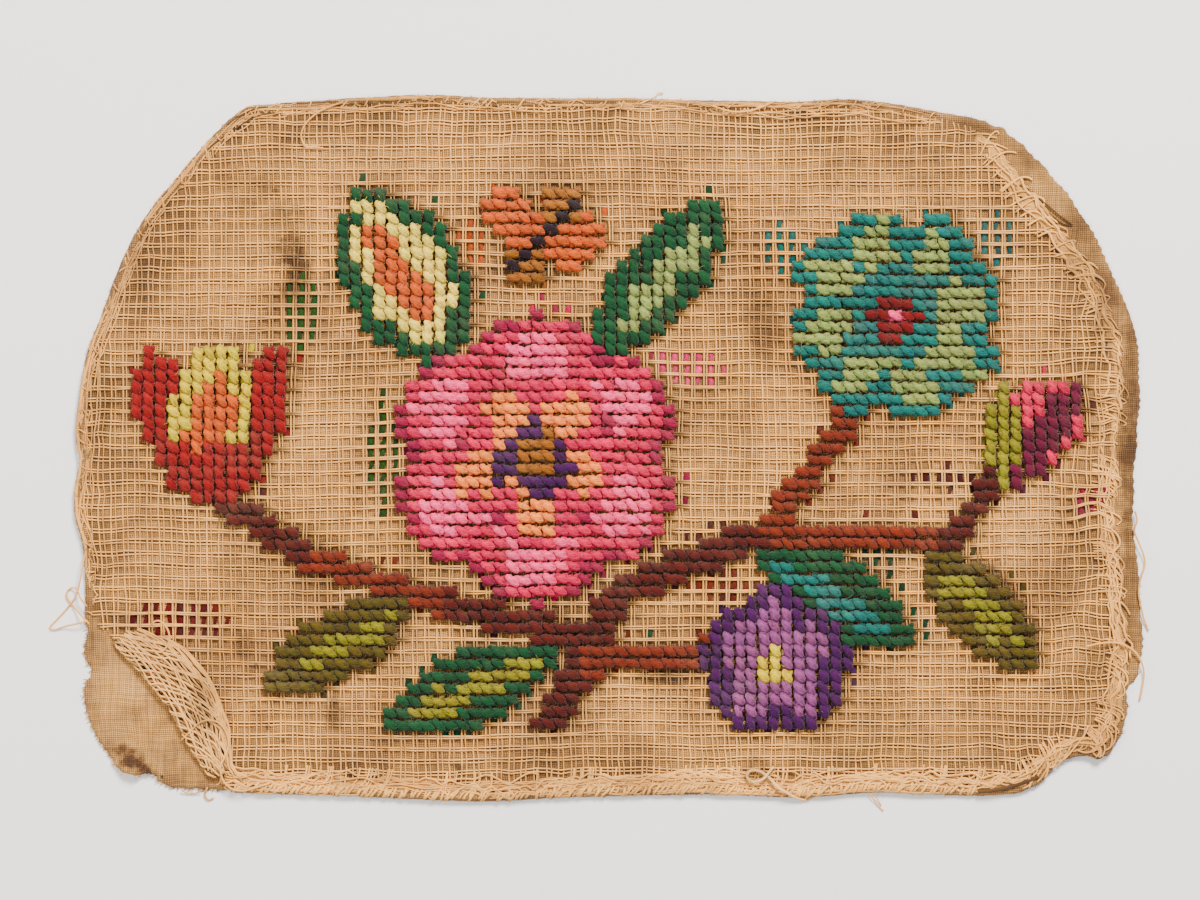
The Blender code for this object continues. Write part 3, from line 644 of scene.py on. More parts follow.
def add_piece(name, points, faces, material, tints, runs=None):
    """Make an object from points in millimetres and arrays of faces with their corners."""
    mesh = bpy.data.meshes.new(name)
    corners = np.concatenate([face.ravel() for face in faces]).astype(np.int32)
    sizes = np.concatenate([np.full(len(face), face.shape[1]) for face in faces])
    starts = np.concatenate(([0], np.cumsum(sizes)[:-1])).astype(np.int32)
    mesh.vertices.add(len(points))
    mesh.vertices.foreach_set("co", to_metres(points).ravel())
    mesh.loops.add(len(corners))
    mesh.loops.foreach_set("vertex_index", corners)
    mesh.polygons.add(len(sizes))
    mesh.polygons.foreach_set("loop_start", starts)
    mesh.update(calc_edges=True)
    colour = mesh.color_attributes.new("Tint", "FLOAT_COLOR", "POINT")
    colour.data.foreach_set("color", np.column_stack((tints, np.ones(len(tints)))).ravel())
    flat = mesh.uv_layers.new(name="OFBake")
    low = points[:, :2].min(axis=0)
    span = points[:, :2].max(axis=0) - low
    flat.data.foreach_set("uv", ((points[:, :2] - low) / span)[corners].ravel())
    if runs is not None:
        along = mesh.uv_layers.new(name="Yarn")
        along.data.foreach_set("uv", runs.ravel())
    mesh.polygons.foreach_set("use_smooth", np.ones(len(sizes), dtype=bool))
    mesh.materials.append(material)
    mesh.validate()
    piece = bpy.data.objects.new(name, mesh)
    bpy.context.scene.collection.objects.link(piece)
    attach(piece, "root")
    return piece


class Graph:
    """A material's node tree, with one call for each kind of node."""

    def __init__(self, name):
        self.material = bpy.data.materials.new(name)
        self.material.use_nodes = True
        self.tree = self.material.node_tree
        self.shader = self.tree.nodes["Principled BSDF"]

    def add(self, kind, inputs, output=0, **settings):
        node = self.tree.nodes.new("ShaderNode" + kind)
        for key, value in settings.items():
            setattr(node, key, value)
        for key, value in inputs.items():
            if isinstance(value, bpy.types.NodeSocket):
                self.tree.links.new(value, node.inputs[key])
            else:
                node.inputs[key].default_value = value
        return node.outputs[output]

    def maths(self, operation, *values):
        return self.add("Math", dict(enumerate(values)), operation=operation)

    def vectors(self, operation, *values, output=0):
        return self.add("VectorMath", dict(enumerate(values)), output, operation=operation)

    def noise(self, vector, size, detail=2.0, roughness=0.5):
        return self.add("TexNoise", {"Vector": vector, "Scale": 1 / size, "Detail": detail,
                                     "Roughness": roughness})

    def fit(self, value, low, high, to_low=0.0, to_high=1.0):
        return self.add("MapRange", {0: value, 1: low, 2: high, 3: to_low, 4: to_high},
                        interpolation_type="SMOOTHSTEP")

    def mix(self, share, one, two, kind="MIX"):
        return self.add("Mix", {0: share, 6: one, 7: two}, 2, data_type="RGBA", blend_type=kind)

    def tinted(self, colour):
        """A colour times the one that each point of the piece holds."""
        return self.mix(1.0, colour, self.tint(), "MULTIPLY")

    def tint(self):
        return self.add("Attribute", {}, "Color", attribute_name="Tint")

    def shaded(self, colour, shade):
        """A colour times a plain number."""
        grey = self.add("CombineXYZ", {0: shade, 1: shade, 2: shade})
        return self.mix(1.0, colour, grey, "MULTIPLY")

    def wander(self, place, scale, reach):
        """Places moved about unevenly, by a reach at most."""
        noise = self.add("TexNoise", {"Vector": place, "Scale": scale}, "Color")
        away = self.vectors("MULTIPLY_ADD", noise, (2 * reach, 2 * reach, 0), (-reach, -reach, 0))
        return self.vectors("ADD", place, away)

    def plan(self):
        """Place on the panel in millimetres."""
        place = self.add("TexCoord", {}, "Object")
        return self.add("VectorMath", {0: place, "Scale": 1 / MM}, operation="SCALE")

    def spots(self, place, rows):
        """How strongly any of the listed spots covers each place."""
        total = 0.0
        for across, up, half_length, half_width, strength in rows:
            centre = (across - MIDDLE_ACROSS, up - MIDDLE_UP, 0.0)
            apart = self.vectors("SUBTRACT", place, centre)
            share = self.vectors("MULTIPLY", apart, (1 / half_length, 1 / half_width, 0.0))
            length = self.vectors("LENGTH", share, output="Value")
            near = self.fit(length, 1.25, 0.35, 0.0, strength)
            total = self.maths("MAXIMUM", near, total)
        return total

    def finish(self, colour, bump, distance, strength, sheen, sheen_roughness=0.5):
        self.tree.links.new(colour, self.shader.inputs["Base Color"])
        normal = self.add("Bump", {"Height": bump, "Distance": distance * MM,
                                   "Strength": strength})
        self.tree.links.new(normal, self.shader.inputs["Normal"])
        self.shader.inputs["Roughness"].default_value = 0.95
        self.shader.inputs["Specular IOR Level"].default_value = 0.2
        self.shader.inputs["Sheen Weight"].default_value = sheen
        self.shader.inputs["Sheen Roughness"].default_value = sheen_roughness
        return self.material


def age(graph, place, pale, tan, stain_and_shadow_strength):
    """Blend a cloth's two colours unevenly, then lay on its stains and bleached places where the panel
    is so; a few of these are painted shadow and painted highlight.
    """
    slow = graph.noise(place, 34.0, 3.0, 0.6)
    quick = graph.noise(place, 5.0, 3.0, 0.6)
    share = graph.maths("ADD", graph.maths("MULTIPLY", slow, 0.65),
                        graph.maths("MULTIPLY", quick, 0.35))
    colour = graph.mix(graph.fit(share, 0.37, 0.62), (*tan, 1.0), (*pale, 1.0))
    moved = graph.wander(place, 0.22, 3.5)
    patchy = graph.fit(graph.noise(place, 2.4, 3.0, 0.65), 0.3, 0.58, 0.55, 1.0)
    # Spots of stains, a few of them painted shadow
    stain_and_shadow = graph.maths("MULTIPLY", graph.spots(moved, STAINS_AND_SHADOWS), patchy)
    stain_and_shadow = graph.maths("MAXIMUM", stain_and_shadow, graph.spots(place, SPECKS))
    # Pale spots, two of them painted highlight on bulges
    pale_and_lit_share = graph.spots(moved, PALE_AND_LIT_SPOTS)
    colour = graph.mix(graph.maths("MULTIPLY", pale_and_lit_share, 0.7), colour, (*BLEACHED_AND_LIT, 1.0))
    return graph.mix(graph.maths("MULTIPLY", stain_and_shadow, stain_and_shadow_strength), colour, (*STAIN_AND_SHADOW_BROWN, 1.0))


def calico_material():
    graph = Graph("Aged calico")
    place = graph.plan()
    moved = graph.wander(place, 0.09, 1.2)
    warp, weft = (
        graph.maths("COSINE", graph.maths("MULTIPLY", graph.add("SeparateXYZ", {0: moved}, axis),
                                          math.pi / CALICO_THREAD))
        for axis in "XY")
    over = graph.maths("MULTIPLY", graph.maths("MULTIPLY", warp, weft), 0.35)
    highs = [graph.maths("MULTIPLY", graph.maths("ABSOLUTE", thread), share) for thread, share in (
        (warp, graph.maths("ADD", over, 0.6)), (weft, graph.maths("SUBTRACT", 0.6, over)))]
    height = graph.maths("MAXIMUM", *highs)
    colour = age(graph, place, CALICO_PALE, CALICO_TAN, 1.0)
    streaks = graph.noise(graph.vectors("MULTIPLY", moved, (1.6, 0.05, 0.0)), 1.0)
    bars = graph.noise(graph.vectors("MULTIPLY", moved, (0.05, 1.6, 0.0)), 1.0)
    slubs = graph.fit(graph.maths("ADD", streaks, bars), 0.75, 1.25, 0.76, 1.2)
    colour = graph.tinted(colour)
    # Painted shade in the gaps between the calico's threads, and painted highlight on their crowns,
    # both following the bump's height
    gaps = graph.fit(height, 0.28, 0.8, 0.34, 1.16)
    colour = graph.shaded(colour, graph.maths("MULTIPLY", gaps, slubs))
    return graph.finish(colour, height, 0.22, 0.9, 0.08)


def thread_material():
    graph = Graph("Aged canvas thread")
    place = graph.plan()
    colour = graph.tinted(age(graph, place, THREAD_PALE, THREAD_TAN, 0.85))
    run = graph.add("UVMap", {}, uv_map="Yarn")
    fibres = graph.noise(graph.vectors("MULTIPLY", run, (1.3, 4.0, 0.0)), 1.0, 3.0, 0.6)
    colour = graph.shaded(colour, graph.fit(fibres, 0.25, 0.75, 0.76, 1.1))
    return graph.finish(colour, fibres, 0.08, 0.6, 0.08)


def wool_material():
    graph = Graph("Wool yarn")
    place = graph.plan()
    run = graph.add("UVMap", {}, uv_map="Yarn")
    slant = graph.add("VectorRotate", {"Vector": run, "Angle": 0.35}, rotation_type="Z_AXIS")
    strands = graph.noise(graph.vectors("MULTIPLY", slant, (0.55, 3.4, 0.0)), 1.0, 3.0, 0.6)
    fluff = graph.noise(place, 0.22, 3.0, 0.7)
    height = graph.maths("ADD", strands, graph.maths("MULTIPLY", fluff, 0.5))
    faded = graph.fit(graph.noise(place, 11.0, 3.0, 0.6), 0.45, 0.75, 0.0, 0.06)
    colour = graph.mix(faded, graph.tint(), (0.42, 0.30, 0.18, 1.0))
    # Fibre streaks that also darken the yarn where its bump is low and lighten it where high: painted
    # shade and painted highlight
    colour = graph.shaded(colour, graph.fit(height, 0.5, 1.0, 0.5, 1.32))
    return graph.finish(colour, height, 0.45, 0.9, 0.10, 0.4)


def floor_material():
    graph = Graph("Pale floor")
    place = graph.plan()
    cloudy = graph.noise(place, 180.0, 2.0, 0.5)
    colour = graph.mix(cloudy, (0.80, 0.79, 0.77, 1.0), (0.84, 0.83, 0.82, 1.0))
    return graph.finish(colour, graph.noise(place, 3.0, 2.0, 0.5), 0.05, 0.2, 0.0)


def covers(shape, i, j):
    """Tell whether a motif's shape covers the stitch in column i and row j."""
    kind, column, row, to_column, to_row, width, turn = shape[:7]
    x, y = i - column, j - row
    if kind == "disc":
        c, s = math.cos(math.radians(turn)), math.sin(math.radians(turn))
        return ((x * c + y * s) / to_column) ** 2 + ((y * c - x * s) / to_row) ** 2 <= 1
    if kind == "petals":
        spread = 2 * math.pi / to_row
        bearing = math.atan2(y, x) - math.radians(turn)
        bearing -= spread * round(bearing / spread)
        reach = math.hypot(x, y)
        along = (reach * math.cos(bearing) / to_column - PETAL_MIDDLE) / PETAL_HALF
        return along ** 2 + (2 * reach * math.sin(bearing) / width) ** 2 <= 1
    run = Vector((to_column - column, to_row - row))
    share = Vector((x, y)).dot(run) / run.length_squared
    if not -0.5 / run.length <= share <= 1 + 0.5 / run.length:
        return False
    across = abs(x * run.y - y * run.x) / run.length
    if kind == "stroke":
        return across <= width / 2
    share = min(1.0, max(0.0, share))
    return across <= width / 2 * (4 * share * (1 - share)) ** LENS_FULLNESS + LENS_EDGE


def chart_motifs():
    """Give each stitch of the panel to the last motif that covers it."""
    owner = {}
    for name, (_, _, outline, _) in MOTIFS.items():
        for i in range(-STITCH_COLUMNS, STITCH_COLUMNS + 1):
            for j in range(-STITCH_ROWS, STITCH_ROWS + 1):
                if any(covers(shape, i, j) for shape in outline):
                    owner[i, j] = name
    return owner


def wool_of(name, i, j):
    """The wool that a stitch is worked in, with the borders of a colour a little uneven."""
    _, _, outline, inside = MOTIFS[name]
    shift = 0.55 * grain(i, j, 1.0, 31), 0.55 * grain(i, j, 1.0, 32)
    picked = outline[0][7]
    for shape in outline:
        if covers(shape, i, j):
            picked = shape[7]
    for shape in inside:
        if covers(shape, i + shift[0], j + shift[1]):
            picked = shape[7]
    return picked


OWNER = chart_motifs()
BACK_CELLS = {
    (i, j): wool
    for column, row, half_columns, half_rows, wool in BACKS
    for i in range(-COLUMNS, COLUMNS + 1)
    for j in range(-ROWS, ROWS + 1)
    if ((i - column) / half_columns) ** 2 + ((j - row) / half_rows) ** 2 <= 1
    and (i, j) not in OWNER
}
STITCHED = np.array(sorted(OWNER) + sorted(BACK_CELLS))


def lift(i, j):
    """How far the wool around it holds a crossing of the net up."""
    spots = np.column_stack((np.ravel(i), np.ravel(j)))
    gaps = np.array([np.hypot(*(STITCHED - spot).T).min() for spot in spots])
    return (WOOL_LIFT * np.exp(-(gaps / LIFT_REACH) ** 2)).reshape(np.shape(i))


def drift(x, y):
    """Where a place of the even net lies once the cloth is pulled about."""
    loose = smooth(118.0, 140.0, x)
    low = smooth(-70.0, -92.0, y) * smooth(60.0, 120.0, x)
    upper = smooth(72.0, 96.0, y)
    dx = waves(x, y, (0.9, 52, 1), (0.3, 15, 2), (0.1, 4, 3))
    dy = waves(x, y, (0.8, 46, 4), (0.25, 13, 5), (0.1, 4, 6))
    dx = dx + loose * waves(x, y, (1.2, 9, 7), (0.7, 3.6, 8))
    dy = dy + loose * waves(x, y, (1.4, 8, 9), (0.8, 3.6, 10))
    dy = dy + low * 1.0 * grain(x, y, 7.0, 11) + upper * 0.7 * grain(x, y, 16.0, 12)
    places = np.column_stack((np.ravel(x), np.ravel(y)))
    gap, _ = nearest(RIM[:, :2], places)
    by_edge = smooth(16.0, 5.0, gap).reshape(np.shape(x)) * (1 + 0.7 * smooth(90.0, 135.0, x))
    dx = dx + by_edge * waves(x, y, (0.45, 4.4, 71), (0.3, 11, 72))
    dy = dy + by_edge * waves(x, y, (0.45, 4.4, 73), (0.3, 11, 74))
    return dx, dy


def net_height(x, y):
    return NET_HEIGHT + curl(x, y) + PUCKER_SHARE * pucker(x, y)


def calico_height(x, y):
    """The calico's upper face, which follows the puckers and is softly uneven."""
    uneven = waves(x, y, (0.1, 23, 13), (0.05, 9, 14))
    return CALICO_THICK - 0.12 + curl(x, y) + PUCKER_SHARE * pucker(x, y) + uneven


def make_calico(material):
    """The backing cloth, with its rolled hem, torn nicks and curled corners."""
    edge, hems = RIM[:, :2], RIM[:, 3]
    wear = fray(RIM[:, 0], RIM[:, 1], hems)
    torn = nick(RIM[:, 0], RIM[:, 1])
    lump = 1 + 0.16 * grain(RIM[:, 0], RIM[:, 1], 4.5, 15)
    rings = []
    for inset, nick_share, height, hem_share in CALICO_RIM:
        fade = 1 - smooth(0.0, 2.9, inset)
        places = edge + RIM_IN * (inset + nick_share * torn + fade * wear)[:, None]
        rise = curl(places[:, 0], places[:, 1]) + height * (CALICO_THICK - 0.06)
        if height == 1.0:
            rise = (1 - fade) * calico_height(places[:, 0], places[:, 1]) + fade * rise
        rings.append(np.column_stack((places, rise + hem_share * hems * lump)))
    inner = rings[-1][:, :2]
    count = len(inner)
    grid = np.array([((i + 0.5 * (j % 2)) * CALICO_STEP, j * CALICO_STEP * 0.87)
                     for j in range(-40, 41) for i in range(-52, 53)])
    grid = grid[holds(inner, grid)]
    grid = grid[nearest(inner, grid)[0] > 0.6 * CALICO_STEP]
    spots = [Vector(place) for place in np.concatenate((inner, grid))]
    result = delaunay_2d_cdt(spots, [], [list(range(count))[::-1]], 1, 1e-5)
    filled = np.array([[result[3][k][0] for k in triangle] for triangle in result[2]])
    upper = np.column_stack((grid, calico_height(*grid.T)))
    points = np.concatenate(rings + [upper, np.column_stack((grid, curl(*grid.T)))])
    around = np.arange(count)
    following = (around + 1) % count
    inner_start = (len(rings) - 1) * count
    bands = [np.column_stack((low + around, low + count + around, low + count + following,
                              low + following)) for low in range(0, inner_start, count)]
    top = inner_start + filled
    under = np.where(filled < count, filled, inner_start + filled + len(grid))
    faces = [np.concatenate(bands), top, under[:, ::-1]]
    x, y = points[:, 0], points[:, 1]
    from_edge, _ = nearest(CANVAS_RIM[:, :2], points[:, :2])
    # Darker inside the net near its edge, where the net stands off the calico: dirt and painted shade
    patchy = np.clip(0.55 + 0.7 * grain(x, y, 8.0, 61), 0, 1)
    lifted = smooth(17.0, 4.0, from_edge) * patchy * holds(CANVAS_RIM[:, :2], points[:, :2])
    mottled = np.clip(grain(x, y, 13.0, 62), 0, 1)
    gap, _ = nearest(edge, points[:, :2])
    # Darker under and around the wool, where it holds the net up off the calico: painted shade
    by_wool = np.array([sum((i + di, j + dj) in OWNER for di in (-1, 0, 1) for dj in (-1, 0, 1))
                        for i, j in np.rint(points[:, :2] / STITCH).astype(int)]) / 9
    patchy = np.clip(0.35 + 0.9 * grain(x, y, 10.0, 63), 0, 1)
    shaded = smooth(0.0, 0.4, by_wool) * patchy
    # Darker towards the worn edge, mottled at random, and with the painted shade above
    tone_and_painted_shade = (1 - 0.28 * np.exp(-gap / 2.2)) * (1 - 0.55 * lifted) * (1 - 0.3 * mottled)
    tone_and_painted_shade = tone_and_painted_shade * (1 - 0.55 * shaded)
    # Painted shade along the crease where the rolled hem meets the flat cloth
    folded = np.clip(1 - 0.25 * np.exp(-np.abs(gap - 2.6) / 0.5), 0, 1)
    tints = np.repeat((tone_and_painted_shade * folded)[:, None], 3, axis=1) * (1.0, 0.985, 0.96)
    piece = add_piece("calico", points, faces, material, tints)
    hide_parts("backing")
    return piece, outline_area(edge)


def runs_inside(flags):
    """Longest stretch of true flags, as its first and last place, or nothing."""
    stretches = [[k for k, _ in group] for held, group in
                 itertools.groupby(enumerate(flags), key=lambda pair: pair[1]) if held]
    longest = max(stretches, key=len, default=None)
    return longest and (longest[0], longest[-1])


def clip_end(inside_point, outside_point):
    """Where the line between two points leaves the canvas."""
    low, high = 0.0, 1.0
    for _ in range(9):
        middle = (low + high) / 2
        place = inside_point + (outside_point - inside_point) * middle
        if holds(CANVAS_RIM, place[None, :2])[0]:
            low = middle
        else:
            high = middle
    return inside_point + (outside_point - inside_point) * low


def thread_end(last, before, rng):
    """Points that finish a thread where it reaches the canvas's edge."""
    away = unit((last - before)[:2])
    _, k = nearest(CANVAS_RIM, last[None, :2])
    hem = CANVAS_HEM[k[0]]
    if hem < 0:
        return [(*(last[:2] + away * 0.7), NET_HEIGHT - 0.1)]
    if hem >= HEMMED:
        place = last[:2] + away * 1.3
        return [(*place, CALICO_THICK + 0.35 + curl(*place))]
    reach = rng.uniform(0.3, 3.2)
    sway = rng.uniform(0.2, 1.5)
    _, k = nearest(RIM[:, :2], last[None, :2])
    droop = np.array((-RIM_IN[k[0], 1], RIM_IN[k[0], 0]))
    points = []
    for share in (0.35, 0.7, 1.0):
        place = last[:2] + away * reach * (share - 0.35 * share ** 2)
        place = place + droop * sway * reach * share * share
        points.append((*place, calico_height(*place) + 0.22 + 0.4 * (1 - share)))
    return points


def make_canvas(material):
    """The open net of paired threads, and its corner folded back in one piece with it; also, as a piece
    of their own, dark strands of painted shade between the two threads of each weft pair.
    """
    rng = random.Random(7)
    bundle, pair_gap_shade_strands = Bundle(), Bundle()
    i = np.arange(-COLUMNS, COLUMNS + 1)
    j = np.arange(-ROWS, ROWS + 1)
    grid_i, grid_j = np.meshgrid(i, j, indexing="ij")
    x, y = grid_i * STITCH, grid_j * STITCH
    dx, dy = drift(x, y)
    held_up = lift(grid_i, grid_j)
    tight = 1 - 0.45 * held_up / WOOL_LIFT
    # Threads where the wool covers them are painted dark, as shade under the stitches
    shade_under_wool = np.array([[0.24 if (a, b) in OWNER else 1.0 for b in j] for a in i])
    checker = np.where((grid_i + grid_j) % 2 == 0, 1.0, -1.0)
    for upright in (True, False):
        for line in (i if upright else j):
            for side in (-1, 1):
                k = line + (COLUMNS if upright else ROWS)
                take = (k, slice(None)) if upright else (slice(None), k)
                wobble = 0.14 * grain(np.arange(len(x[take])), line * 2 + side, 1.7, 16 + upright)
                spread = (WARP_SPREAD if upright else WEFT_SPREAD) * side * tight[take]
                px = x[take] + dx[take] + (spread + wobble if upright else 0.0)
                py = y[take] + dy[take] + (0.0 if upright else spread + wobble)
                rise = CROSSING_RISE * checker[take] * (1 if upright else -1)
                pz = net_height(px, py) + held_up[take] + rise
                path = np.column_stack((px, py, pz))
                kept = runs_inside(holds(CANVAS_RIM, path[:, :2]))
                if kept is None or kept[1] - kept[0] < 2:
                    continue
                first, last = kept
                body = path[first:last + 1]
                if first > 0:
                    start = clip_end(path[first], path[first - 1])
                    tail = thread_end(start, body[0], rng)
                    body = np.vstack((tail[::-1], start, body))
                if last < len(path) - 1:
                    end = clip_end(path[last], path[last + 1])
                    body = np.vstack((body, end, thread_end(end, body[-1], rng)))
                shade = 1 + rng.uniform(-0.1, 0.08)
                shades = shade * np.interp(np.arange(len(body)) - (first > 0) * (
                    len(body) - (last - first + 1)) / 2, np.arange(last - first + 1),
                    shade_under_wool[take][first:last + 1])
                faint = upright and side > 0
                tints = np.repeat(shades[None, :, None] * (0.84 if faint else 1.0), 3, axis=2)
                bundle.add(body, THREAD_WIDE * (0.8 if faint else 1.0), THREAD_HIGH, 4, tints)
                # A dark strand low in the gap between the two threads of each weft pair: painted shade
                if side > 0 and not upright:
                    between = path[first:last + 1] - (0.0, WEFT_SPREAD, 0.0)
                    between[:, 2] = net_height(between[:, 0], between[:, 1]) - 0.3
                    between[:, 2] += held_up[take][first:last + 1]
                    pair_gap_shade_strands.add(between, 0.27, 0.12, 4, PAIR_GAP_SHADE)
    fold_corner(bundle)
    piece = bundle.finish("canvas_net", material)
    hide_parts("canvas")
    pair_gap_shade_piece = pair_gap_shade_strands.finish("painted_shade_in_pairs", material)
    return piece


def on_strip(s, way, sink=0.0):
    """A place on the folded strip: share of the crease from the bottom, and way over it."""
    s, way = np.broadcast_arrays(np.asarray(s, dtype=float), np.asarray(way, dtype=float))
    travel = np.clip(s, 0, 1) * CREASE_LENGTH
    base, ahead, back = (
        np.stack([np.interp(place, CREASE_TRAVEL, CREASE_LINE[:, k]) for k in (0, 1)], -1)
        for place in (travel, travel + 2.0, travel - 2.0))
    width = np.interp(travel, CREASE_TRAVEL, CREASE_LINE[:, 2])
    run = unit(ahead - back)
    face = np.stack((run[..., 1], -run[..., 0]), -1)
    overrun = (s - np.clip(s, 0, 1)) * CREASE_LENGTH
    table = np.array(FOLD_SKIN)
    reach, share, height = (np.interp(way, table[:, 0], table[:, k]) for k in (1, 2, 3))
    place = base + run * overrun[..., None] + face * (reach + share * width)[..., None]
    narrow = np.clip(width / FOLD_WIDTH, 0.55, 1.0)
    return np.concatenate((place, (NET_HEIGHT + (height - sink - NET_HEIGHT) * narrow)[..., None]),
                          axis=-1)


def fold_corner(bundle):
    """The torn corner's net, pulled askew as it lies folded over the face."""
    rng = random.Random(11)
    # Each layer's shade darkens the deeper layers: painted shade under the layers above
    for layer, (sink, shade, crossing, lengthwise) in enumerate(FOLD_LAYERS):
        for k in range(crossing):
            start = 0.06 + 1.3 * (k + rng.uniform(-0.35, 0.35)) / crossing
            slope = rng.uniform(0.40, 0.52) + 0.05 * layer
            tail = rng.uniform(0.02, 0.2)
            way = np.linspace(0.0, rng.uniform(0.88, 0.99), 15)
            s = start - slope * way ** 1.2
            s = np.append(s, s[-1] - tail * np.array((0.35, 0.7, 1.0)))
            way = np.append(way, way[-1] + rng.uniform(-0.04, 0.05) * np.array((0.5, 1.0, 1.0)))
            way = way + 0.035 * grain(np.arange(len(way)), k, 1.9, 21 + layer)
            s = s + 0.012 * grain(np.arange(len(way)), k, 1.4, 29 + layer)
            keep = (s > -0.03) & (s < 1.03)
            if keep.sum() > 3:
                path = on_strip(s[keep], way[keep], sink)
                path[:, 2] += 0.14 * grain(np.arange(len(path)), k, 2.0, 23)
                tone = shade * (1 + rng.uniform(-0.1, 0.1))
                half = rng.uniform(0.22, 0.33)
                bundle.add(path, half, 0.22, 5, tone * FOLD_PALER)
        for k in range(lengthwise):
            middle = 0.05 + 0.95 * (k + rng.uniform(-0.25, 0.25)) / lengthwise
            s = np.linspace(rng.uniform(0.93, 1.03), rng.uniform(-0.05, 0.05), 34)
            sway = 0.05 * grain(s * 9, k, 1.0, 25 + layer) + 0.34 * (s - 0.5)
            way = middle + sway
            keep = (way > 0.1) & (way < 1.0)
            if keep.sum() < 6:
                continue
            path = on_strip(s[keep], way[keep], sink)
            path[:, 2] += 0.2 * np.where((np.arange(keep.sum()) + k) % 2 == 0, 1, -1)
            tone = shade * (1 + rng.uniform(-0.12, 0.08))
            bundle.add(path, rng.uniform(0.2, 0.28), 0.21, 4, tone * FOLD_PALER)
    for k in range(CREASE_THREADS):
        s = np.linspace(rng.uniform(0.45, 1.0), rng.uniform(-0.14, 0.0), 26)
        way = 0.93 + 0.06 * grain(s * 7, k, 1.0, 27) + 0.008 * k
        path = on_strip(s, np.minimum(way, 1.0), 0.06 * k)
        path[:, 0] += 0.14 * k + 0.3 * grain(s * 11, k, 1.0, 28)
        tone = rng.uniform(0.82, 1.04)
        bundle.add(path, rng.uniform(0.22, 0.32), 0.22, 5, tone)


def leg_paths(table, centres, lies, flip, jitter):
    """Paths of one leg of every stitch, with its half widths and heights."""
    table = np.array(table)
    table = np.vstack((table, table[-2::-1] * (-1, -1, 1, 1, 1)))
    along, aside, height = table[:, 0], table[:, 1] * flip, table[:, 2]
    turned = np.array([lie == "column" for lie in lies])[:, None]
    x = np.where(turned, -aside, along)
    y = np.where(turned, -along, aside)
    c, s = np.cos(jitter[:, 0:1]), np.sin(jitter[:, 0:1])
    x, y = (x * c - y * s) * STITCH * jitter[:, 2:3], (x * s + y * c) * STITCH * jitter[:, 2:3]
    px = centres[:, 0:1] + x + jitter[:, 3:4]
    py = centres[:, 1:2] + y + jitter[:, 4:5]
    pz = centres[:, 2:3] + height[None] + jitter[:, 5:6]
    wide = table[None, :, 3] * jitter[:, 1:2]
    high = table[None, :, 4] * jitter[:, 1:2]
    return np.stack((px, py, pz), axis=2), wide, high


def add_fuzz(bundle, centres, colours, rng):
    """Loose fibres that stand out of the wool."""
    chosen = np.repeat(np.arange(len(centres)), FUZZ_PER_STITCH)
    count = len(chosen)
    way = np.linspace(0, 1, 4)[None]
    start = centres[chosen, :2] + rng.normal(0, 0.28 * STITCH, (count, 2))
    bearing = rng.uniform(0, 2 * np.pi, (count, 1))
    bend = rng.normal(0, 0.9, (count, 1))
    length = rng.uniform(0.7, 2.2, (count, 1))
    px = start[:, 0:1] + length * way * np.cos(bearing + bend * way)
    py = start[:, 1:2] + length * way * np.sin(bearing + bend * way)
    pz = centres[chosen, 2:3] + 3.75 + 0.45 * np.sin(np.pi * way) * rng.random((count, 1))
    tints = np.clip(colours[chosen] * 1.15 + 0.015, 0, 0.95)
    bundle.add(np.stack((px, py, pz), axis=2), 0.07, 0.07, 3, tints)


def make_wool(name, material):
    """Every cross-stitch of one motif, an under leg and a plump arched leg over it."""
    cells = [cell for cell, motif in sorted(OWNER.items()) if motif == name]
    rng = np.random.default_rng(sum(map(ord, name)))
    count = len(cells)
    slot, lie, _, _ = MOTIFS[name]
    fullness = 1.08 if lie == "column" else 1.0
    i, j = np.array(cells).T
    x, y = i * STITCH, j * STITCH
    dx, dy = drift(x, y)
    centres = np.column_stack((x + dx, y + dy, curl(x, y) + PUCKER_SHARE * pucker(x, y)))
    colours = np.array([dyed(WOOL[wool_of(name, *cell)]) for cell in cells])
    value = np.exp(rng.normal(0.0, 0.09, (count, 1)) + 0.10 * grain(i, j, 3.0, 41)[:, None])
    hue = 1 + rng.normal(0.0, 0.03, (count, 3))
    colours = np.clip(colours * value * hue, 0.002, 0.95)
    lies = [lie] * count
    jitter = np.column_stack((
        rng.normal(0.0, 0.14, count), rng.normal(fullness, 0.08, count),
        rng.normal(1.0, 0.05, count),
        rng.normal(0.0, 0.14, count), rng.normal(0.0, 0.13, count), rng.normal(0.0, 0.06, count)))
    bundle = Bundle()
    paths, wide, high = leg_paths(BOTTOM_LEG, centres, lies, 1.0, jitter)
    # The under leg is painted a fifth darker than the top leg: painted shade under it
    bundle.add(paths, wide, high, BOTTOM_SIDES, colours * 0.8, 0.0)
    paths, wide, high = leg_paths(TOP_LEG, centres, lies, -1.0, jitter)
    bundle.add(paths, wide, high, TOP_SIDES, colours, PLY_DEPTH, YARN_LUMPS)
    add_fuzz(bundle, centres, colours, rng)
    piece = bundle.finish("yarn_" + name[5:], material)
    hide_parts(name)


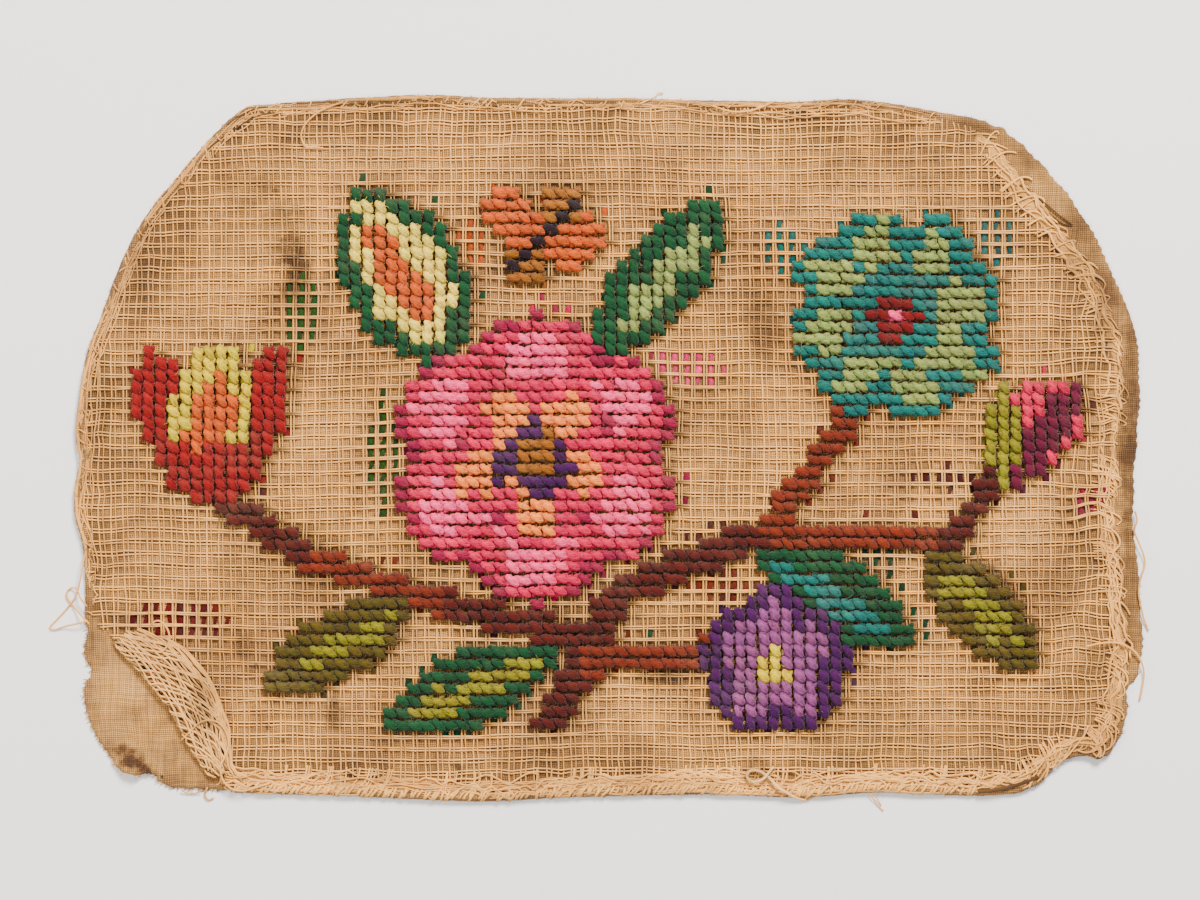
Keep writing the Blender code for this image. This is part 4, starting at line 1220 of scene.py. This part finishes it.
def make_backs(material):
    """Yarn that runs behind the net around the motifs."""
    rng = np.random.default_rng(5)
    bundle = Bundle()
    centres, colours = list(BACK_CELLS), [dyed(WOOL[wool]) for wool in BACK_CELLS.values()]
    for (i, j), name in sorted(OWNER.items()):
        for di, dj in ((1, 0), (-1, 0), (0, 1), (0, -1)):
            cell = (i + di, j + dj)
            if cell not in OWNER and cell not in BACK_CELLS and rng.random() < 0.2:
                centres.append(cell)
                colours.append(dyed(WOOL[wool_of(name, i, j)]))
    i, j = np.array(centres).T + 0.5
    x, y = i * STITCH, j * STITCH
    dx, dy = drift(x, y)
    x, y = x + dx + rng.normal(0, 0.2, len(i)), y + dy + rng.normal(0, 0.2, len(i))
    lean = rng.normal(0.1, 0.15, len(i))
    span = np.linspace(-1.7, 1.7, 6)
    px = x[:, None] + lean[:, None] * span
    py = y[:, None] + span
    pz = np.broadcast_to(1.12 + PUCKER_SHARE * pucker(x, y)[:, None], px.shape)
    wide = 0.88 * rng.uniform(0.6, 1.15, (len(i), 1))
    colours = np.array(colours) * rng.uniform(0.4, 0.85, (len(i), 1))
    bundle.add(np.stack((px, py, pz), axis=2), wide, 0.26, 8, colours, 0.0, 0.08)
    piece = bundle.finish("yarn_backs", material)


def make_rim(material):
    """Threads bunched along the hem, whipping over it, and the frayed ends of raw edges, with dark
    strands of painted shade in the hem's cracks.
    """
    rng = random.Random(23)
    bundle = Bundle()
    count = len(RIM)
    travel = RIM_TRAVEL

    def at(position, inset, height):
        place = np.array([np.interp(position, travel, RIM[:, k]) for k in (0, 1)]).T
        face = np.array([np.interp(position, travel, RIM_IN[:, k]) for k in (0, 1)]).T
        place = place + face * np.asarray(inset)[..., None]
        rise = height + curl(place[..., 0], place[..., 1])
        return np.concatenate((place, np.broadcast_to(rise, place.shape[:-1])[..., None]), -1)

    def hem_at(position):
        return np.interp(position, travel, RIM[:, 3])

    def canvas_at(position):
        return np.interp(position, travel, RIM[:, 2])

    def stretch(first, last, room, shortest, longest, step):
        """Distances along a random stretch of the rim."""
        start = rng.uniform(first, last - room)
        return np.arange(start, min(start + rng.uniform(shortest, longest), last), step)

    raw_side = travel[(RIM[:, 2] > 0) & (RIM[:, 3] < HEMMED)]
    raw_start, raw_end = raw_side.min(), raw_side.max()

    # Felted wads and slack cords along the raw edge of the canvas
    for band, half, high, rise, tone in (
            (0.6, 1.0, 0.34, 1.15, 0.62), (1.8, 0.8, 0.30, 1.1, 0.66),
            (-0.4, 0.6, 0.28, 1.15, 0.60)):
        position = np.arange(raw_start, raw_end, 0.9)
        sway = waves(position, band * 9, (1.1, 9, 61), (0.5, 3.6, 62))
        path = at(position, canvas_at(position) + band + sway, rise)
        wide = half * (1 + 0.5 * grain(position, band, 4.4, 63))
        bundle.add(path, wide[None], high, 8, np.full((1, 3), tone), 0.0, 0.07)
    for k in range(RAW_CORDS):
        position = stretch(raw_start - 4, raw_end, 10, 10, 44, 0.9)
        band = rng.uniform(-1.0, 3.6)
        sway = waves(position, k * 7, (1.5, 6, 64), (0.9, 2.4, 65))
        height = NET_HEIGHT + 0.35 + 0.35 * rng.random() + 0.3 * grain(position, k, 4.0, 66)
        tone = rng.uniform(0.78, 1.06)
        bundle.add(at(position, canvas_at(position) + band + sway, height),
                   rng.uniform(0.22, 0.38), 0.24, 5, tone)

    # Slack threads that run along the hemmed edges
    for k in range(SLACK_THREADS):
        position = stretch(0, travel[-1], 30, 12, 60, 1.6)
        if len(position) < 5 or canvas_at(position).min() < 1 or hem_at(position).min() < 0.5:
            continue
        band = rng.uniform(-0.8, 2.0)
        sway = waves(position, k * 7, (0.8, 7, 51), (0.3, 2.6, 52))
        height = NET_HEIGHT + 0.35 + 0.3 * rng.random() + 0.3 * grain(position, k, 5.0, 53)
        tone = rng.uniform(0.76, 1.0)
        bundle.add(at(position, canvas_at(position) + band + sway, height), 0.2, 0.18, 4,
                   tone)

    # Folds of the rolled hem, as soft ridges, and dark strands along it that paint the shade in its
    # cracks
    for k in range(HEM_FOLDS):
        position = stretch(0, travel[-1], 12, 8, 46, 1.4)
        hems = hem_at(position)
        if len(position) < 5 or hems.min() < 0.7:
            continue
        band = rng.uniform(0.5, 3.3)
        inset = band + 0.35 * grain(position, k * 7, 6.0, 54)
        dark = rng.random() < 0.3
        height = 0.98 + hems * np.interp(inset, HEM_INSET, HEM_FOLDED)
        tint = HEM_CRACK_SHADE if dark else HEM_RIDGE_TINT * rng.uniform(0.66, 0.92)
        ends = np.sin(np.pi * np.linspace(0.06, 0.94, len(position))) ** 0.5
        half = rng.uniform(0.12, 0.2) if dark else rng.uniform(0.25, 0.5)
        bundle.add(at(position, inset, height), (half * ends)[None], 0.13 if dark else 0.2, 5,
                   tint)

    # Matted threads that curl on the rolled hem
    for _ in range(MATTED_THREADS):
        position = rng.uniform(0, travel[-1] - 10)
        hem = float(hem_at(position))
        turn = rng.uniform(1.6, 6.0)
        way = np.linspace(0, 1, 9)
        inset = rng.uniform(0.7, 3.4) + rng.uniform(-1.5, 1.5) * np.sin(np.pi * way) ** 2
        inset = np.clip(inset + rng.uniform(-0.8, 0.8) * way, 0.3, 4.4)
        along = position + turn * way + rng.uniform(-1.3, 1.3) * np.sin(2 * np.pi * way)
        if hem < 0.6:
            continue
        height = 1.12 + hem * np.interp(inset, HEM_INSET, HEM_MATTED)
        tone = rng.uniform(0.7, 1.0)
        bundle.add(at(along, inset, height), rng.uniform(0.15, 0.26), 0.17, 4,
                   tone)

    # Threads whipped over the rolled hem, close together along the bottom
    position = 0.0
    while position < travel[-1] - 3:
        hem = float(hem_at(position))
        across, up = (float(np.interp(position, travel, RIM[:, k])) for k in (0, 1))
        bottom = up < BOTTOM_BELOW
        torn_open = bottom and TORN_OPEN[0] < across < TORN_OPEN[1]
        if hem > 0.6 and not torn_open:
            lean = rng.uniform(0.6, 3.0)
            way = np.linspace(0, 1, 8)
            far = rng.uniform(2.4, 3.6)
            inset = far - (far - rng.uniform(0.0, 0.6)) * way
            height = 1.25 + (hem + 0.02) * np.sin(np.pi * (0.12 + 0.76 * way)) ** 0.8
            height = height - 0.75 * smooth(0.8, 1.0, way)
            tone = rng.uniform(0.8, 1.02)
            slide = lean * way + rng.uniform(-0.5, 0.5) * np.sin(np.pi * way)
            half = rng.uniform(0.28, 0.5) if bottom else rng.uniform(0.16, 0.26)
            bundle.add(at(position + slide, inset, height), half, 0.14, 5, tone)
        position += rng.uniform(0.7, 1.8) if bottom else rng.uniform(3.0, 12.0)

    # Ends that come out of the raw edge and hook along it
    for _ in range(HOOKED_ENDS):
        position = rng.uniform(raw_start + 3, raw_end - 12)
        set_back = float(canvas_at(position))
        reach = rng.uniform(-0.5, min(3.2, set_back - 1.2))
        turn = rng.uniform(1.5, 8.5)
        back = rng.uniform(-0.6, 1.8)
        along = position + np.array((0.0, 0.08 * turn, 0.32 * turn, 0.72 * turn, turn))
        inset = set_back + np.array((5.5, 2.6, 0.6 - 0.6 * reach, -reach, -reach + back))
        height = CALICO_THICK + np.array((0.55, 0.8, 0.7, 0.45, 0.3))
        path = curve_through(at(along, inset, height), 0.7)
        tone = rng.uniform(0.84, 1.1)
        bundle.add(path, rng.uniform(0.18, 0.30), 0.2, 5, tone)
    piece = bundle.finish("edge_threads", material)

    # Short broken ends of the calico's own threads
    bundle = Bundle()
    for k in range(count):
        bare = RIM[k, 2] < 0
        for _ in range(3 if bare else 1):
            if not bare and rng.random() < 0.6:
                continue
            x, y = RIM[k, 0], RIM[k, 1]
            worn = float(fray(x, y, RIM[k, 3]) + nick(x, y))
            position = float(travel[k]) + rng.uniform(-0.6, 0.6)
            length = rng.uniform(0.1, 1.1) ** 1.5 * (1.0 if bare else 0.45)
            way = np.array((0.0, 0.5, 1.0))
            along = position + rng.uniform(-0.9, 0.9) * way ** 1.5
            path = at(along, worn + 0.7 - (length + 0.7) * way, 0.0)
            path[:, 2] += rng.uniform(0.25, 0.8) * (1 - 0.5 * way)
            tone = rng.uniform(0.75, 1.15)
            bundle.add(path, 0.11, 0.1, 3, tone)
    piece = bundle.finish("calico_fringe", material)


def make_loose_and_shadow_strands(material):
    """Threads that have worked loose, and dark strands of painted shadow, one by one as they lie."""
    bundle = Bundle()
    for shade, half, points in LOOSE_AND_SHADOW_STRANDS:
        path = curve_through(points, 0.7)
        bundle.add(path, half, half * 0.9, 6, THREAD_SHADES[shade])
    piece = bundle.finish("loose_threads_and_shadow_strands", material)


def add_floor(material):
    mesh = bpy.data.meshes.new("floor")
    corners = [(x * FLOOR_HALF, y * FLOOR_HALF, 0) for x, y in ((-1, -1), (1, -1), (1, 1), (-1, 1))]
    mesh.from_pydata(corners, [], [(0, 1, 2, 3)])
    mesh.materials.append(material)
    floor = bpy.data.objects.new("floor", mesh)
    bpy.context.scene.collection.objects.link(floor)


def add_light(name, place, size, power, colour):
    """A round lamp that shines on the panel's middle."""
    light = bpy.data.lights.new(name, "AREA")
    light.shape = "DISK"
    light.size = size
    light.energy = power
    light.color = colour
    lamp = bpy.data.objects.new(name, light)
    lamp.location = place
    lamp.rotation_euler = (-Vector(place)).to_track_quat("-Z", "Y").to_euler()
    bpy.context.scene.collection.objects.link(lamp)


def set_camera_and_lights():
    data = bpy.data.cameras.new("camera")
    data.sensor_width = SENSOR_WIDTH
    data.lens = SENSOR_WIDTH * CAMERA_HEIGHT / (VIEW_WIDTH * MM)
    data.clip_start = 0.05
    camera = bpy.data.objects.new("camera", data)
    camera.location = ((VIEW_ACROSS - MIDDLE_ACROSS) * MM, (VIEW_UP - MIDDLE_UP) * MM,
                       CAMERA_HEIGHT)
    bpy.context.scene.collection.objects.link(camera)
    bpy.context.scene.camera = camera
    for lamp in LAMPS:
        add_light(*lamp)
    world = bpy.data.worlds.new("studio")
    world.use_nodes = True
    background = world.node_tree.nodes["Background"]
    background.inputs["Color"].default_value = (1.0, 1.0, 1.0, 1.0)
    background.inputs["Strength"].default_value = STUDIO_LIGHT
    bpy.context.scene.world = world


def main():
    set_camera_and_lights()
    add_floor(floor_material())
    thread = thread_material()
    wool = wool_material()
    calico, calico_area = make_calico(calico_material())
    canvas = make_canvas(thread)
    for name in MOTIFS:
        make_wool(name, wool)
    make_backs(wool)
    make_rim(thread)
    make_loose_and_shadow_strands(thread)


main()
